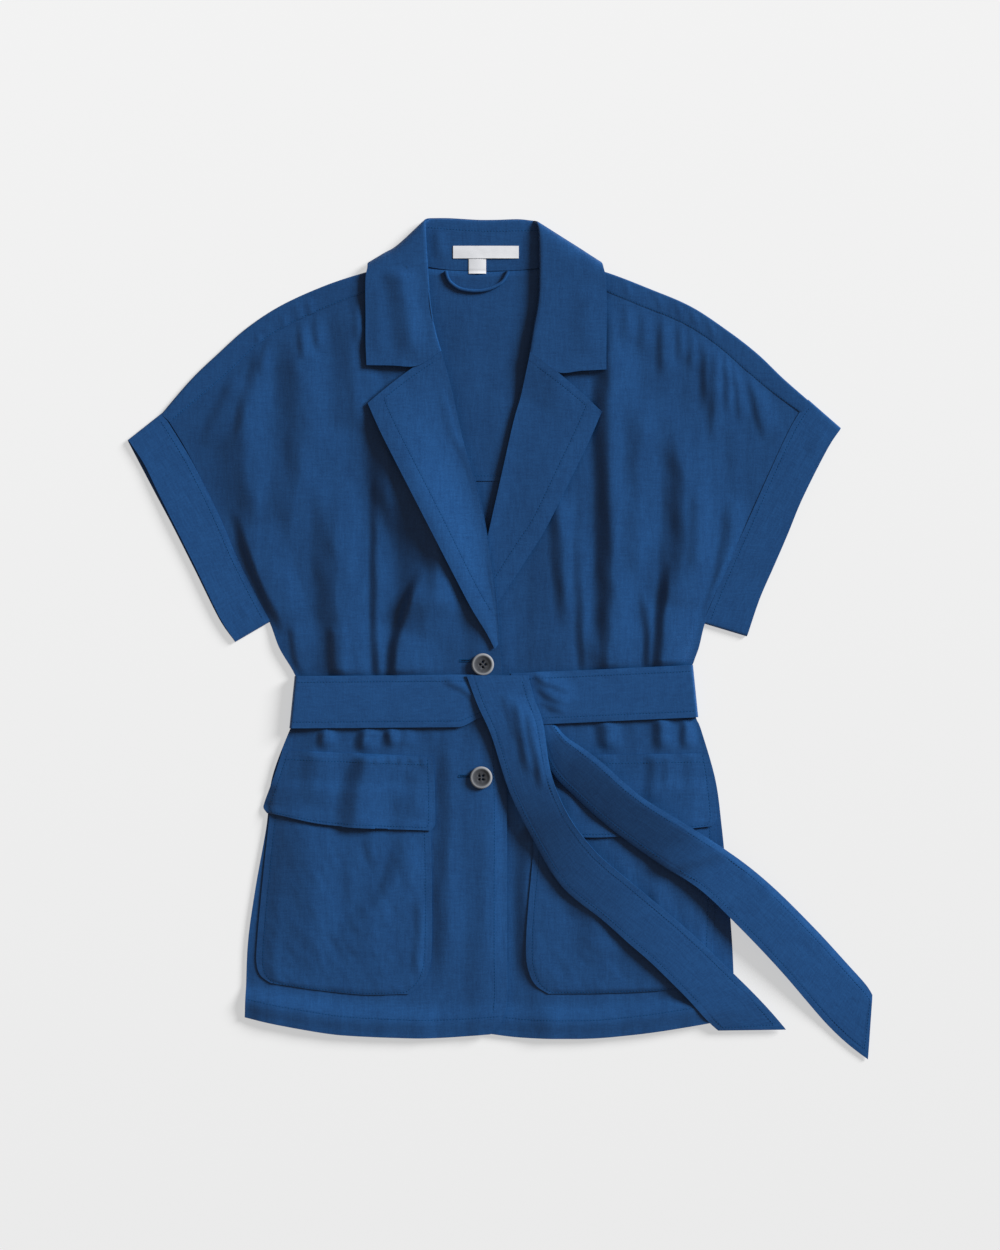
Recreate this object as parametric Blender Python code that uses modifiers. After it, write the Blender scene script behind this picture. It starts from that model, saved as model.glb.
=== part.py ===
"""Belted shirt jacket with kimono sleeves, laid flat on its back.

Sizes are in millimetres in the garment's own plan: x from the centre front line, to the
right as seen from above, and y from the hem line up to the collar. FRAME_SHIFT moves the
plan so that the origin is under the middle of the laid garment.
"""
import math
from collections import namedtuple

import bmesh
import bpy
from mathutils import Vector

MM = 0.001
FRAME_SHIFT = Vector((-15.0, -370.0, 0.0))

# Cloth wall, seam gap and belt
CLOTH = 1.0
SEAM = 0.3
LAYER = CLOTH + SEAM
BELT_THICK = 1.2
BELT_WIDTH = 49.0
BELT_Y = 313.0
BELT_FRONT_Z = 10.1
BELT_TURN_REACH = 4.2
BELT_PRESS = 0.22

# Heights of the fronts above the back: body, lap, seams and side edges
BODY_LOFT = 3.0
UNDER_LOFT = 1.0
SEAM_LOFT = 1.1
EDGE_LOFT = 0.4
OVERLAP_LIFT = 1.2
ROLL_LIFT = 4.5
UNDER_ROLL_SHARE = 0.35
GATHER_WIDTH = 4.0

# Shoulder fold, yoke and back hem
SHOULDER_TURN = 1.2
SHOULDER_INSET = 1.6
YOKE_SEAM_Y = 520.0
BACK_HEM_RISE = 4.0

# Lapels, collar, cuffs, pockets and flaps
LAPEL_ROLL_GAP = 0.7
LAPEL_EDGE_LIFT = 2.4
UNDER_LAPEL_PRESS = 0.5
COLLAR_ROLL = 1.6
COLLAR_FOLD = 1.8
CUFF_TURN = 0.008
CUFF_END = 0.012
CUFF_SEAM_SHARE = 0.03
CUFF_PUFF = 1.0
POCKET_PUFF = 2.2
FLAP_SEAM_LIFT = 0.6
FLAP_GAP = 0.8
FLAP_PUFF = 0.7

# Buttons, loop and labels
BUTTON_RADIUS = 10.4
BUTTON_THICK = 3.2
BUTTON_GAP = 0.7
BUTTON_HOLE = 1.1
BUTTON_HOLE_RING = 2.3
LOOP_THICK = 3.4
LABEL_BOX = (-30.7, 30.7, 723.8, 735.8)
TAB_BOX = (-15.8, 0.0, 709.6, 723.2)
TAB_LIFT = 0.5
STAND_LOW_Z = 1.9
STAND_HIGH_Z = 3.75
LABEL_GAP = 0.35

CLOTH_BLUE = (0.006, 0.058, 0.165, 1.0)
BUTTON_GREY = (0.045, 0.047, 0.052, 1.0)
LABEL_WHITE = (0.85, 0.86, 0.87, 1.0)

# Sections of a front, from the hem up: its side end and its centre front end. Above the
# underarm the side end follows the cuff seam, so side_x is None there.
Section = namedtuple("Section", "level side_x side_y front_x front_y")
LEFT_SECTIONS = [
    Section(0.00, -224.0, 19.0, 4.0, 3.5),
    Section(0.04, -223.0, 45.0, 18.5, 26.0),
    Section(0.11, -221.0, 90.0, 19.5, 84.0),
    Section(0.18, -214.0, 140.0, 19.5, 138.0),
    Section(0.26, -204.0, 196.0, 19.5, 194.0),
    Section(0.32, -199.0, 240.0, 19.0, 240.0),
    Section(0.39, -175.5, 287.0, 17.5, 287.0),
    Section(0.46, -172.5, 336.0, 15.0, 338.0),
    Section(0.50, -190.0, 362.0, 13.0, 366.0),
    Section(0.54, -202.0, 388.0, 10.5, 404.0),
    Section(0.61, None, 419.0, 4.5, 448.0),
    Section(0.70, None, 462.0, -6.0, 505.0),
    Section(0.80, None, 503.0, -22.0, 558.0),
    Section(0.91, None, 543.0, -42.0, 632.0),
    Section(1.00, None, 572.0, -80.0, 706.0),
]
RIGHT_SECTIONS = [
    Section(0.00, 231.5, 18.6, -18.0, 7.0),
    Section(0.04, 230.5, 45.0, -18.0, 30.0),
    Section(0.11, 228.5, 90.0, -18.0, 84.0),
    Section(0.18, 224.5, 140.0, -18.0, 138.0),
    Section(0.26, 219.0, 196.0, -18.0, 194.0),
    Section(0.32, 213.0, 240.0, -18.0, 240.0),
    Section(0.39, 191.0, 296.0, -18.0, 287.0),
    Section(0.46, 188.0, 347.0, -18.0, 338.0),
    Section(0.50, 196.0, 363.0, -16.0, 366.0),
    Section(0.54, 204.0, 387.0, -11.0, 404.0),
    Section(0.61, None, 416.0, -2.5, 450.0),
    Section(0.70, None, 455.0, 9.0, 500.0),
    Section(0.80, None, 498.0, 20.5, 552.0),
    Section(0.91, None, 544.0, 41.0, 630.0),
    Section(1.00, None, 580.0, 80.0, 706.0),
]

# Yoke stations from sleeve to neck: back seam x, shoulder fold, forward seam.
Station = namedtuple("Station", "back_x fold_x fold_y seam_x seam_y")
LEFT_STATIONS = [
    Station(-267.5, -301.5, 579.0, -294.5, 572.3),
    Station(-240.0, -274.0, 611.0, -262.0, 600.0),
    Station(-210.0, -249.0, 635.0, -238.0, 621.0),
    Station(-180.0, -222.0, 659.0, -213.0, 645.0),
    Station(-148.0, -190.0, 680.0, -183.0, 664.0),
    Station(-115.0, -150.0, 698.0, -143.0, 682.0),
    Station(-85.0, -110.0, 711.0, -104.0, 697.0),
    Station(-66.0, -84.0, 717.5, -80.5, 706.3),
]
RIGHT_STATIONS = [
    Station(262.0, 300.0, 591.0, 294.5, 580.3),
    Station(236.0, 276.0, 612.0, 266.0, 601.0),
    Station(208.0, 252.0, 635.0, 243.0, 620.0),
    Station(180.0, 225.0, 656.0, 214.0, 645.0),
    Station(148.0, 190.0, 679.0, 183.0, 665.0),
    Station(115.0, 150.0, 696.0, 144.0, 681.0),
    Station(85.0, 110.0, 711.0, 105.0, 697.0),
    Station(66.0, 82.0, 717.5, 80.5, 706.3),
]
NECK_SEAM = [(-40.0, 713.0), (-13.0, 711.7), (13.0, 711.7), (40.0, 713.0)]

# Hem curve across both fronts.
HEM = [(-224.0, 19.0), (-200.0, 13.5), (-172.0, 8.2), (-136.0, 2.8), (-80.0, 0.0), (-43.0, 0.0),
       (4.0, 3.5), (32.0, 0.2), (70.0, -0.8), (106.0, 0.0), (152.0, 4.8), (200.0, 12.4), (231.5, 18.6)]

# Cuff sections from the shoulder fold down: seam end and open end.
Band = namedtuple("Band", "seam_x seam_y end_x end_y")
LEFT_CUFF = [
    Band(-302.0, 578.5, -332.0, 554.5),
    Band(-285.5, 552.4, -318.0, 533.5),
    Band(-270.6, 526.4, -305.5, 508.0),
    Band(-249.2, 482.7, -289.0, 475.0),
    Band(-232.5, 444.0, -268.0, 433.0),
    Band(-214.5, 408.5, -247.0, 389.5),
    Band(-202.5, 386.5, -233.4, 368.5),
]
RIGHT_CUFF = [
    Band(300.5, 590.5, 329.2, 565.0),
    Band(284.6, 566.0, 317.0, 546.5),
    Band(261.3, 516.0, 294.0, 501.0),
    Band(243.5, 476.0, 280.0, 467.0),
    Band(225.5, 436.0, 267.0, 437.0),
    Band(212.0, 405.0, 254.0, 407.0),
    Band(204.0, 385.5, 242.7, 373.2),
]

# Turned-back lapels, from the gorge seam down: roll edge and outer edge.
Turn = namedtuple("Turn", "roll_x roll_y edge_x edge_y")
LEFT_LAPEL = [
    Turn(-42.0, 634.5, -109.7, 588.7),
    Turn(-32.5, 604.5, -97.5, 560.0),
    Turn(-21.4, 555.0, -74.4, 515.0),
    Turn(-8.5, 508.0, -47.4, 468.0),
    Turn(1.0, 464.0, -30.0, 426.0),
    Turn(6.5, 425.0, -13.5, 398.0),
    Turn(10.2, 390.0, 0.0, 376.0),
    Turn(12.0, 366.0, 9.0, 361.0),
]
RIGHT_LAPEL = [
    Turn(41.0, 632.0, 106.8, 582.0),
    Turn(32.6, 597.0, 101.0, 562.7),
    Turn(25.5, 572.0, 85.6, 533.0),
    Turn(14.0, 521.0, 56.0, 473.5),
    Turn(3.0, 472.0, 37.5, 444.0),
    Turn(-4.0, 440.0, 18.6, 415.0),
    Turn(-10.0, 410.0, 5.0, 394.0),
    Turn(-14.0, 380.0, -8.0, 371.0),
]

# Collar sections from the front end to the centre back. turn is the angle of the falling
# layer from the standing layer: 90 above it, on the front, and -90 below it, at the back.
Wrap = namedtuple("Wrap", "turn mid_z seam_x seam_y roll_x roll_y fall_x fall_y edge_x edge_y")
LEFT_COLLAR = [
    Wrap(90, 9.2, -46.0, 637.0, -42.5, 636.5, -64.0, 625.0, -110.7, 624.5),
    Wrap(90, 9.2, -62.0, 655.0, -48.0, 655.0, -72.0, 645.0, -111.6, 645.0),
    Wrap(90, 9.2, -72.0, 677.0, -52.5, 680.0, -78.0, 672.0, -111.6, 668.0),
    Wrap(90, 9.2, -78.0, 698.0, -55.0, 712.0, -80.0, 700.0, -111.8, 690.0),
    Wrap(90, 9.2, -80.0, 711.0, -57.0, 742.0, -83.0, 720.0, -111.5, 706.0),
    Wrap(45, 8.2, -80.0, 717.5, -57.0, 752.0, -82.0, 730.0, -109.5, 714.0),
    Wrap(0, 6.0, -80.0, 722.0, -55.5, 756.0, -82.0, 734.0, -109.0, 718.0),
    Wrap(-45, 3.6, -78.0, 723.5, -53.0, 757.0, -79.0, 736.0, -106.0, 719.0),
    Wrap(-90, 2.1, -74.0, 720.0, -49.5, 758.0, -72.0, 732.0, -101.0, 711.0),
    Wrap(-90, 2.1, -38.0, 713.6, -34.0, 759.5, -42.0, 728.0, -56.0, 699.0),
    Wrap(-90, 2.1, -10.0, 712.3, -8.0, 758.0, -10.0, 728.0, -12.0, 697.0),
]
RIGHT_COLLAR = [
    Wrap(90, 9.2, 46.0, 635.5, 41.5, 634.5, 66.0, 620.0, 111.6, 620.0),
    Wrap(90, 9.2, 60.0, 655.0, 45.3, 657.0, 72.0, 643.0, 111.6, 641.0),
    Wrap(90, 9.2, 72.0, 677.0, 50.0, 684.0, 78.0, 672.0, 111.8, 664.0),
    Wrap(90, 9.2, 78.0, 698.0, 51.2, 712.0, 80.0, 700.0, 111.8, 688.0),
    Wrap(90, 9.2, 80.0, 711.0, 51.0, 742.0, 82.0, 720.0, 111.0, 705.0),
    Wrap(45, 8.2, 80.0, 717.5, 49.5, 752.0, 82.0, 730.0, 108.5, 714.0),
    Wrap(0, 6.0, 80.0, 722.0, 48.0, 756.0, 82.0, 734.0, 107.0, 718.0),
    Wrap(-45, 3.6, 78.0, 723.5, 46.0, 757.0, 79.0, 736.0, 105.0, 719.0),
    Wrap(-90, 2.1, 74.0, 720.0, 43.5, 757.5, 70.0, 732.0, 99.0, 711.0),
    Wrap(-90, 2.1, 38.0, 713.6, 30.0, 758.5, 40.0, 728.0, 54.0, 699.0),
    Wrap(-90, 2.1, 10.0, 712.3, 10.0, 758.0, 10.0, 728.0, 12.0, 697.0),
]

# Long soft ridges of the fronts: upper end, lower end, half width and height.
Fold = namedtuple("Fold", "x_top y_top x_low y_low width height")
LEFT_FOLDS = [
    Fold(-238.0, 618.0, -216.0, 470.0, 11.0, 3.0),
    Fold(-222.0, 520.0, -192.0, 395.0, 11.0, 4.5),
    Fold(-172.0, 655.0, -168.0, 470.0, 13.0, 3.4),
    Fold(-142.0, 560.0, -130.0, 330.0, 12.0, 4.0),
    Fold(-92.0, 545.0, -98.0, 330.0, 8.0, 3.6),
    Fold(-60.0, 450.0, -82.0, 330.0, 12.0, 4.0),
    Fold(-22.0, 270.0, -18.0, 50.0, 16.0, 1.2),
]
RIGHT_FOLDS = [
    Fold(100.0, 560.0, 98.0, 330.0, 8.0, 3.2),
    Fold(122.0, 610.0, 119.0, 330.0, 9.0, 5.0),
    Fold(146.0, 600.0, 146.0, 420.0, 11.0, 2.6),
    Fold(180.0, 560.0, 172.0, 330.0, 12.0, 5.0),
    Fold(158.0, 420.0, 157.0, 335.0, 6.0, 2.6),
    Fold(76.0, 520.0, 80.0, 400.0, 7.0, 3.4),
    Fold(232.0, 520.0, 214.0, 400.0, 9.0, 3.6),
]

# Gathers under the forward shoulder seam: place on the seam, lean, length and height.
Gather = namedtuple("Gather", "seam_x seam_y lean length height")
LEFT_GATHERS = [
    Gather(-192.0, 657.0, 0.06, 60.0, 1.3),
    Gather(-172.0, 667.0, 0.02, 34.0, 1.0),
    Gather(-158.0, 674.0, 0.03, 30.0, 1.0),
    Gather(-140.0, 681.0, 0.04, 26.0, 0.8),
]
RIGHT_GATHERS = [
    Gather(128.0, 686.0, 0.00, 30.0, 0.7),
    Gather(143.0, 680.0, 0.03, 36.0, 0.9),
    Gather(163.0, 674.0, -0.10, 55.0, 1.2),
    Gather(178.0, 667.0, -0.02, 40.0, 1.0),
    Gather(190.0, 660.0, -0.02, 34.0, 1.0),
    Gather(203.0, 652.0, -0.02, 60.0, 1.3),
    Gather(216.0, 642.0, -0.06, 90.0, 1.4),
    Gather(230.0, 630.0, 0.04, 50.0, 1.1),
    Gather(244.0, 618.0, 0.22, 55.0, 1.2),
]

# Patch pockets and flaps, each row from its outer side to its inner side.
Strip = namedtuple("Strip", "outer_x outer_y inner_x inner_y")
LEFT_POCKET = [
    Strip(-197.0, 236.0, -54.0, 232.0),
    Strip(-200.0, 215.0, -52.0, 208.0),
    Strip(-205.0, 170.0, -50.5, 165.0),
    Strip(-210.0, 120.0, -50.8, 115.0),
    Strip(-213.0, 80.0, -52.0, 75.0),
    Strip(-212.0, 62.0, -57.0, 54.0),
    Strip(-202.0, 52.0, -71.0, 41.0),
]
LEFT_FLAP = [
    Strip(-189.0, 267.0, -49.0, 261.0),
    Strip(-195.0, 248.0, -48.0, 243.0),
    Strip(-202.0, 230.0, -47.2, 222.0),
    Strip(-207.0, 217.0, -47.0, 202.0),
    Strip(-202.0, 208.0, -51.0, 191.5),
]
RIGHT_POCKET = [
    Strip(210.5, 236.0, 46.0, 232.0),
    Strip(212.5, 215.0, 45.0, 208.0),
    Strip(214.0, 170.0, 43.0, 165.0),
    Strip(212.0, 120.0, 38.5, 115.0),
    Strip(210.0, 80.0, 37.5, 75.0),
    Strip(208.0, 62.0, 42.0, 54.0),
    Strip(196.0, 49.0, 56.0, 41.5),
]
RIGHT_FLAP = [
    Strip(206.5, 264.0, 43.0, 262.0),
    Strip(210.0, 246.0, 43.0, 243.0),
    Strip(212.5, 226.0, 43.5, 222.0),
    Strip(214.0, 206.0, 44.5, 200.0),
    Strip(206.0, 195.0, 50.0, 188.0),
]

# Belt ends: points down the middle with the height of the strip, the turn of its cross line
# in degrees and its width.
Lay = namedtuple("Lay", "x y z cross width")
TAIL_OVER = [
    Lay(10.5, 336.5, 11.6, 0.0, 57.0),
    Lay(18.0, 312.0, 12.2, 6.0, 55.0),
    Lay(27.0, 286.0, 13.6, 14.0, 53.0),
    Lay(42.0, 238.0, 14.4, 18.0, 50.0),
    Lay(58.0, 200.0, 14.8, 26.0, 49.0),
    Lay(82.0, 164.0, 14.0, 38.0, 49.0),
    Lay(112.0, 132.0, 12.6, 44.0, 48.0),
    Lay(150.0, 97.0, 12.2, 45.0, 48.0),
    Lay(190.0, 58.0, 10.6, 44.0, 49.0),
    Lay(222.0, 28.0, 7.4, 30.0, 56.0),
    Lay(246.0, 6.0, 4.6, 1.0, 67.0),
]
TAIL_UNDER = [
    Lay(57.0, 303.0, 8.3, 8.0, 20.0),
    Lay(64.0, 288.0, 8.6, 20.0, 24.0),
    Lay(71.0, 274.0, 10.8, 38.0, 30.0),
    Lay(80.0, 262.0, 12.8, 44.0, 38.0),
    Lay(94.0, 245.0, 13.2, 43.0, 45.0),
    Lay(128.0, 214.0, 13.2, 40.0, 48.0),
    Lay(174.0, 180.0, 13.2, 38.0, 48.0),
    Lay(213.0, 153.0, 11.2, 40.0, 48.0),
    Lay(250.0, 122.0, 6.6, 46.0, 49.0),
    Lay(290.0, 81.0, 2.4, 50.0, 50.0),
    Lay(330.0, 36.0, 0.6, 60.0, 54.0),
    Lay(357.0, 9.5, 0.6, 86.0, 60.0),
]

# Hanger loop route in the back neck, and the buttons.
LOOP_ROUTE = [(-37.0, 708.5), (-32.0, 700.5), (-24.0, 695.5), (-12.0, 693.5), (0.0, 694.5), (10.0, 698.5),
              (16.0, 703.0), (20.5, 708.0)]
BUTTONS = {"button_top": (-3.0, 349.0, 0.0), "button_low": (-4.5, 241.8, 45.0)}


def smooth(low, high, value):
    """Ease from 0 at low to 1 at high."""
    share = min(max((value - low) / (high - low), 0.0), 1.0)
    return share * share * (3.0 - 2.0 * share)


def mix(first, second, share):
    return first + (second - first) * share


def spread(rows, share):
    """Point at a share of the way along a list of number rows, evenly spaced by row."""
    place = min(max(share, 0.0), 1.0) * (len(rows) - 1)
    index = min(int(place), len(rows) - 2)
    return [mix(a, b, place - index) for a, b in zip(rows[index], rows[index + 1])]


def cuff_seam_x(cuff, y):
    """Place of the cuff seam at a height."""
    for high, low in zip(cuff, cuff[1:]):
        if y >= low.seam_y:
            return mix(low.seam_x, high.seam_x, (y - low.seam_y) / (high.seam_y - low.seam_y))
    return cuff[-1].seam_x


def section_at(sections, cuff, level):
    """Row of a section table at a level from 0, the hem, to 1, the shoulder seam."""
    for low, high in zip(sections, sections[1:]):
        if level <= high.level:
            share = min(max((level - low.level) / (high.level - low.level), 0.0), 1.0)
            side_y = mix(low.side_y, high.side_y, share)
            side_x = cuff_seam_x(cuff, side_y)
            if high.side_x is not None:
                side_x = mix(low.side_x, high.side_x, share)
            front = mix(low.front_x, high.front_x, share), mix(low.front_y, high.front_y, share)
            return Section(level, side_x, side_y, *front)


def curve_y(points, x):
    """Height of a curve given by points in order of x."""
    for (x0, y0), (x1, y1) in zip(points, points[1:]):
        if x <= x1:
            return mix(y0, y1, (x - x0) / (x1 - x0))
    return points[-1][1]


def belt_middle(x):
    """The belt sits a little higher at the right side."""
    return BELT_Y + (0.046 * x if x > 0 else 0.008 * x)


def back_middle(x, y):
    """Middle of the back cloth: flat on the floor, over the belt and over the collar's fall."""
    off_belt = abs(y - belt_middle(x)) - BELT_WIDTH / 2
    over_belt = (BELT_THICK + SEAM) * (1.0 - smooth(24.0, 56.0, off_belt))
    over_fall = (LAYER + SEAM) * smooth(630.0, 684.0, y) * (1.0 - smooth(126.0, 166.0, abs(x)))
    return CLOTH / 2 + over_belt + over_fall


def fold_height(folds, gathers, x, y):
    """Ridges and gathers of a front, pressed flat under the belt."""
    total = 0.0
    for fold in folds:
        share = (fold.y_top - y) / (fold.y_top - fold.y_low)
        if 0.0 < share < 1.0:
            middle = mix(fold.x_top, fold.x_low, share)
            fade = smooth(0.0, 0.35, share) * smooth(0.0, 0.12, 1.0 - share)
            total += fold.height * fade * math.exp(-0.5 * ((x - middle) / fold.width) ** 2)
    for gather in gathers:
        share = (gather.seam_y - y) / gather.length
        if 0.0 < share < 1.0:
            middle = gather.seam_x + gather.lean * (gather.seam_y - y)
            fade = smooth(0.0, 0.12, share) * (1.0 - share)
            total += gather.height * fade * math.exp(-0.5 * ((x - middle) / GATHER_WIDTH) ** 2)
    off_belt = abs(y - belt_middle(x)) - BELT_WIDTH / 2
    return total * mix(BELT_PRESS, 1.0, smooth(0.0, 20.0, off_belt))


def roll_lift(y):
    """How far the front edge stands up along the roll of the lapel."""
    return ROLL_LIFT * smooth(330.0, 430.0, y) * (1.0 - smooth(540.0, 640.0, y))


def front_point(sections, folds, gathers, under, across, level):
    """Point of a front: across from side 0 to centre front 1, level from hem 0 to shoulder 1."""
    cuff = RIGHT_CUFF if under else LEFT_CUFF
    row = section_at(sections, cuff, level)
    ends = section_at(sections, cuff, 1.0)
    stations = RIGHT_STATIONS if under else LEFT_STATIONS
    x = mix(row.side_x, row.front_x, across)
    y = mix(row.side_y, row.front_y, across)
    hem = curve_y(HEM, mix(sections[0].side_x, sections[0].front_x, across))
    y += (hem - mix(sections[0].side_y, sections[0].front_y, across)) * (1.0 - smooth(0.0, 0.25, level))
    seam = spread([(s.seam_x, s.seam_y) for s in stations], across)
    pull = smooth(0.5, 1.0, level)
    x += (seam[0] - mix(ends.side_x, ends.front_x, across)) * pull
    y += (seam[1] - mix(ends.side_y, ends.front_y, across)) * pull - SEAM * smooth(0.9, 1.0, level)
    inner = BODY_LOFT if not under else mix(UNDER_LOFT, BODY_LOFT, smooth(26.0, 60.0, x))
    at_cuff = smooth(0.53, 0.56, level)
    loft = mix(mix(EDGE_LOFT, SEAM_LOFT, at_cuff), inner, smooth(0.0, 0.16, across))
    if not under:
        loft += OVERLAP_LIFT * smooth(-24.0, -6.0, x) * (1.0 - smooth(380.0, 420.0, y))
    loft += roll_lift(y) * smooth(0.72, 1.0, across) * (UNDER_ROLL_SHARE if under else 1.0)
    loft = mix(loft, SEAM_LOFT, smooth(0.86, 1.0, level))
    edge = smooth(0.0, 0.1, across) * (1.0 - smooth(0.92, 1.0, across))
    ridges = fold_height(folds, gathers, x, y) * edge * (1.0 - smooth(0.95, 1.0, level))
    return Vector((x, y, back_middle(x, y) + LAYER + loft + ridges))


def left_front(across, level):
    return front_point(LEFT_SECTIONS, LEFT_FOLDS, LEFT_GATHERS, False, across, level)


def right_front(across, level):
    return front_point(RIGHT_SECTIONS, RIGHT_FOLDS, RIGHT_GATHERS, True, across, level)


def share_at(table, key, value):
    """Share along a front's sections at which its side or front end reaches a height."""
    for low, high in zip(table, table[1:]):
        a, b = getattr(low, key), getattr(high, key)
        if value <= b:
            return mix(low.level, high.level, max((value - a) / (b - a), 0.0))
    return 1.0


def front_height(under, x, y):
    """Middle of a front's cloth at a place in the plan, found by stepping to it."""
    sections = RIGHT_SECTIONS if under else LEFT_SECTIONS
    place = right_front if under else left_front
    across = 0.5
    level = share_at(sections, "front_y", y)
    for _ in range(20):
        at = place(across, level)
        step = 0.001
        by_across = (place(min(across + step, 1.0), level) - at) / step
        by_level = (place(across, min(level + step, 1.0)) - at) / step
        scale = by_across.x * by_level.y - by_across.y * by_level.x
        if abs(scale) < 1e-6:
            break
        gap_x, gap_y = x - at.x, y - at.y
        across += (gap_x * by_level.y - gap_y * by_level.x) / scale
        level += (gap_y * by_across.x - gap_x * by_across.y) / scale
        across = min(max(across, 0.0), 0.998)
        level = min(max(level, 0.0), 0.998)
    return place(across, level).z


def material(name, colour, roughness):
    made = bpy.data.materials.new(name)
    made.use_nodes = True
    shader = made.node_tree.nodes["Principled BSDF"]
    shader.inputs["Base Color"].default_value = colour
    shader.inputs["Roughness"].default_value = roughness
    shader.inputs["Metallic"].default_value = 0.0
    return made


def add_object(name, mesh, finish):
    piece = bpy.data.objects.new(name, mesh)
    mesh.materials.append(finish)
    jacket.objects.link(piece)
    piece.parent = origin
    return piece


def sheet(name, columns, rows, place, thick=CLOTH, closed=False, drop=None):
    """Cloth wall on a grid: place gives the middle of the wall for two shares from 0 to 1."""
    mesh = bpy.data.meshes.new(name)
    shape = bmesh.new()
    bmesh.ops.create_grid(shape, x_segments=columns, y_segments=rows, size=0.5)
    if drop:
        unwanted = [face for face in shape.faces
                    if drop(face.calc_center_median().x + 0.5, face.calc_center_median().y + 0.5)]
        bmesh.ops.delete(shape, geom=unwanted, context="FACES")
    for vert in shape.verts:
        vert.co = place(vert.co.x + 0.5, vert.co.y + 0.5) * MM
    if closed:
        bmesh.ops.remove_doubles(shape, verts=shape.verts, dist=0.00001)
    bmesh.ops.recalc_face_normals(shape, faces=shape.faces)
    shape.to_mesh(mesh)
    shape.free()
    mesh.shade_smooth()
    piece = add_object(name, mesh, cloth)
    wall = piece.modifiers.new("wall", "SOLIDIFY")
    wall.thickness = thick * MM
    wall.offset = 0.0
    return piece


def make_back_panel():
    def place(across, up):
        level = up * share_at(LEFT_SECTIONS, "side_y", YOKE_SEAM_Y - SEAM)
        right_level = up * share_at(RIGHT_SECTIONS, "side_y", YOKE_SEAM_Y - SEAM)
        left = section_at(LEFT_SECTIONS, LEFT_CUFF, level)
        right = section_at(RIGHT_SECTIONS, RIGHT_CUFF, right_level)
        x = mix(left.side_x, right.side_x, across)
        y = mix(left.side_y, right.side_y, across)
        left_end, right_end = HEM[0], HEM[-1]
        hem = curve_y(HEM, mix(left_end[0], right_end[0], across)) + BACK_HEM_RISE
        y += (hem - mix(left_end[1], right_end[1], across)) * (1.0 - smooth(0.0, 0.3, up))
        return Vector((x, y, back_middle(x, y)))

    sheet("back_panel", 10, 20, place)


def make_back_yoke():
    first_neck = len(LEFT_STATIONS)
    columns = [(s.back_x, s.fold_x, s.fold_y, s.seam_x, s.seam_y) for s in LEFT_STATIONS]
    columns += [(x, x, y, x, y) for x, y in NECK_SEAM]
    columns += [(s.back_x, s.fold_x, s.fold_y, s.seam_x, s.seam_y) for s in reversed(RIGHT_STATIONS)]
    back_rows, turn_rows, strip_rows = 6, 4, 1
    rows = back_rows + turn_rows + strip_rows
    last_neck = first_neck + len(NECK_SEAM)

    def place(across, up):
        column = round(across * (len(columns) - 1))
        row = round(up * rows)
        back_x, fold_x, fold_y, seam_x, seam_y = columns[column]
        fold = Vector((fold_x, fold_y, 0.0))
        at_neck = first_neck <= column < last_neck
        back = Vector((back_x, YOKE_SEAM_Y, 0.0))
        near = fold if at_neck else fold + (back - fold).normalized() * SHOULDER_INSET
        if row <= back_rows:
            spot = back.lerp(near, row / back_rows)
            if column in (0, len(columns) - 1):
                spot.x = cuff_seam_x(RIGHT_CUFF if column else LEFT_CUFF, spot.y)
            return Vector((spot.x, spot.y, back_middle(spot.x, spot.y)))
        if at_neck:
            return Vector((fold_x, fold_y, back_middle(fold_x, fold_y)))
        seam = Vector((seam_x, seam_y, 0.0))
        start = fold + (seam - fold).normalized() * SHOULDER_INSET
        if row <= back_rows + turn_rows:
            angle = math.pi * (row - back_rows) / turn_rows
            reach = near.lerp(start, (1.0 - math.cos(angle)) / 2)
            spot = reach.lerp(fold, math.sin(angle))
            rise = SHOULDER_TURN * (1.0 - math.cos(angle))
        else:
            spot = start.lerp(seam, (row - back_rows - turn_rows) / strip_rows)
            rise = 2 * SHOULDER_TURN
        return Vector((spot.x, spot.y, back_middle(spot.x, spot.y) + rise))

    def drop(across, up):
        column = across * (len(columns) - 1)
        return first_neck - 1 < column < last_neck and up * rows > back_rows

    sheet("back_yoke", len(columns) - 1, rows, place, drop=drop)


def make_fronts():
    sheet("front_left", 30, 24, left_front)
    sheet("front_right", 30, 24, right_front)


def make_lapel(name, table, under):
    def place(along, across):
        roll_x, roll_y, edge_x, edge_y = spread(table, along)
        x, y = mix(roll_x, edge_x, across), mix(roll_y, edge_y, across)
        press = UNDER_LAPEL_PRESS * smooth(0.45, 0.8, along) if under else 0.0
        lift = mix(LAPEL_ROLL_GAP, LAPEL_EDGE_LIFT, smooth(0.0, 0.8, across)) * (1.0 - press)
        return Vector((x, y, front_height(under, x, y) + LAYER + lift))

    sheet(name, 14, 5, place)


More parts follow.
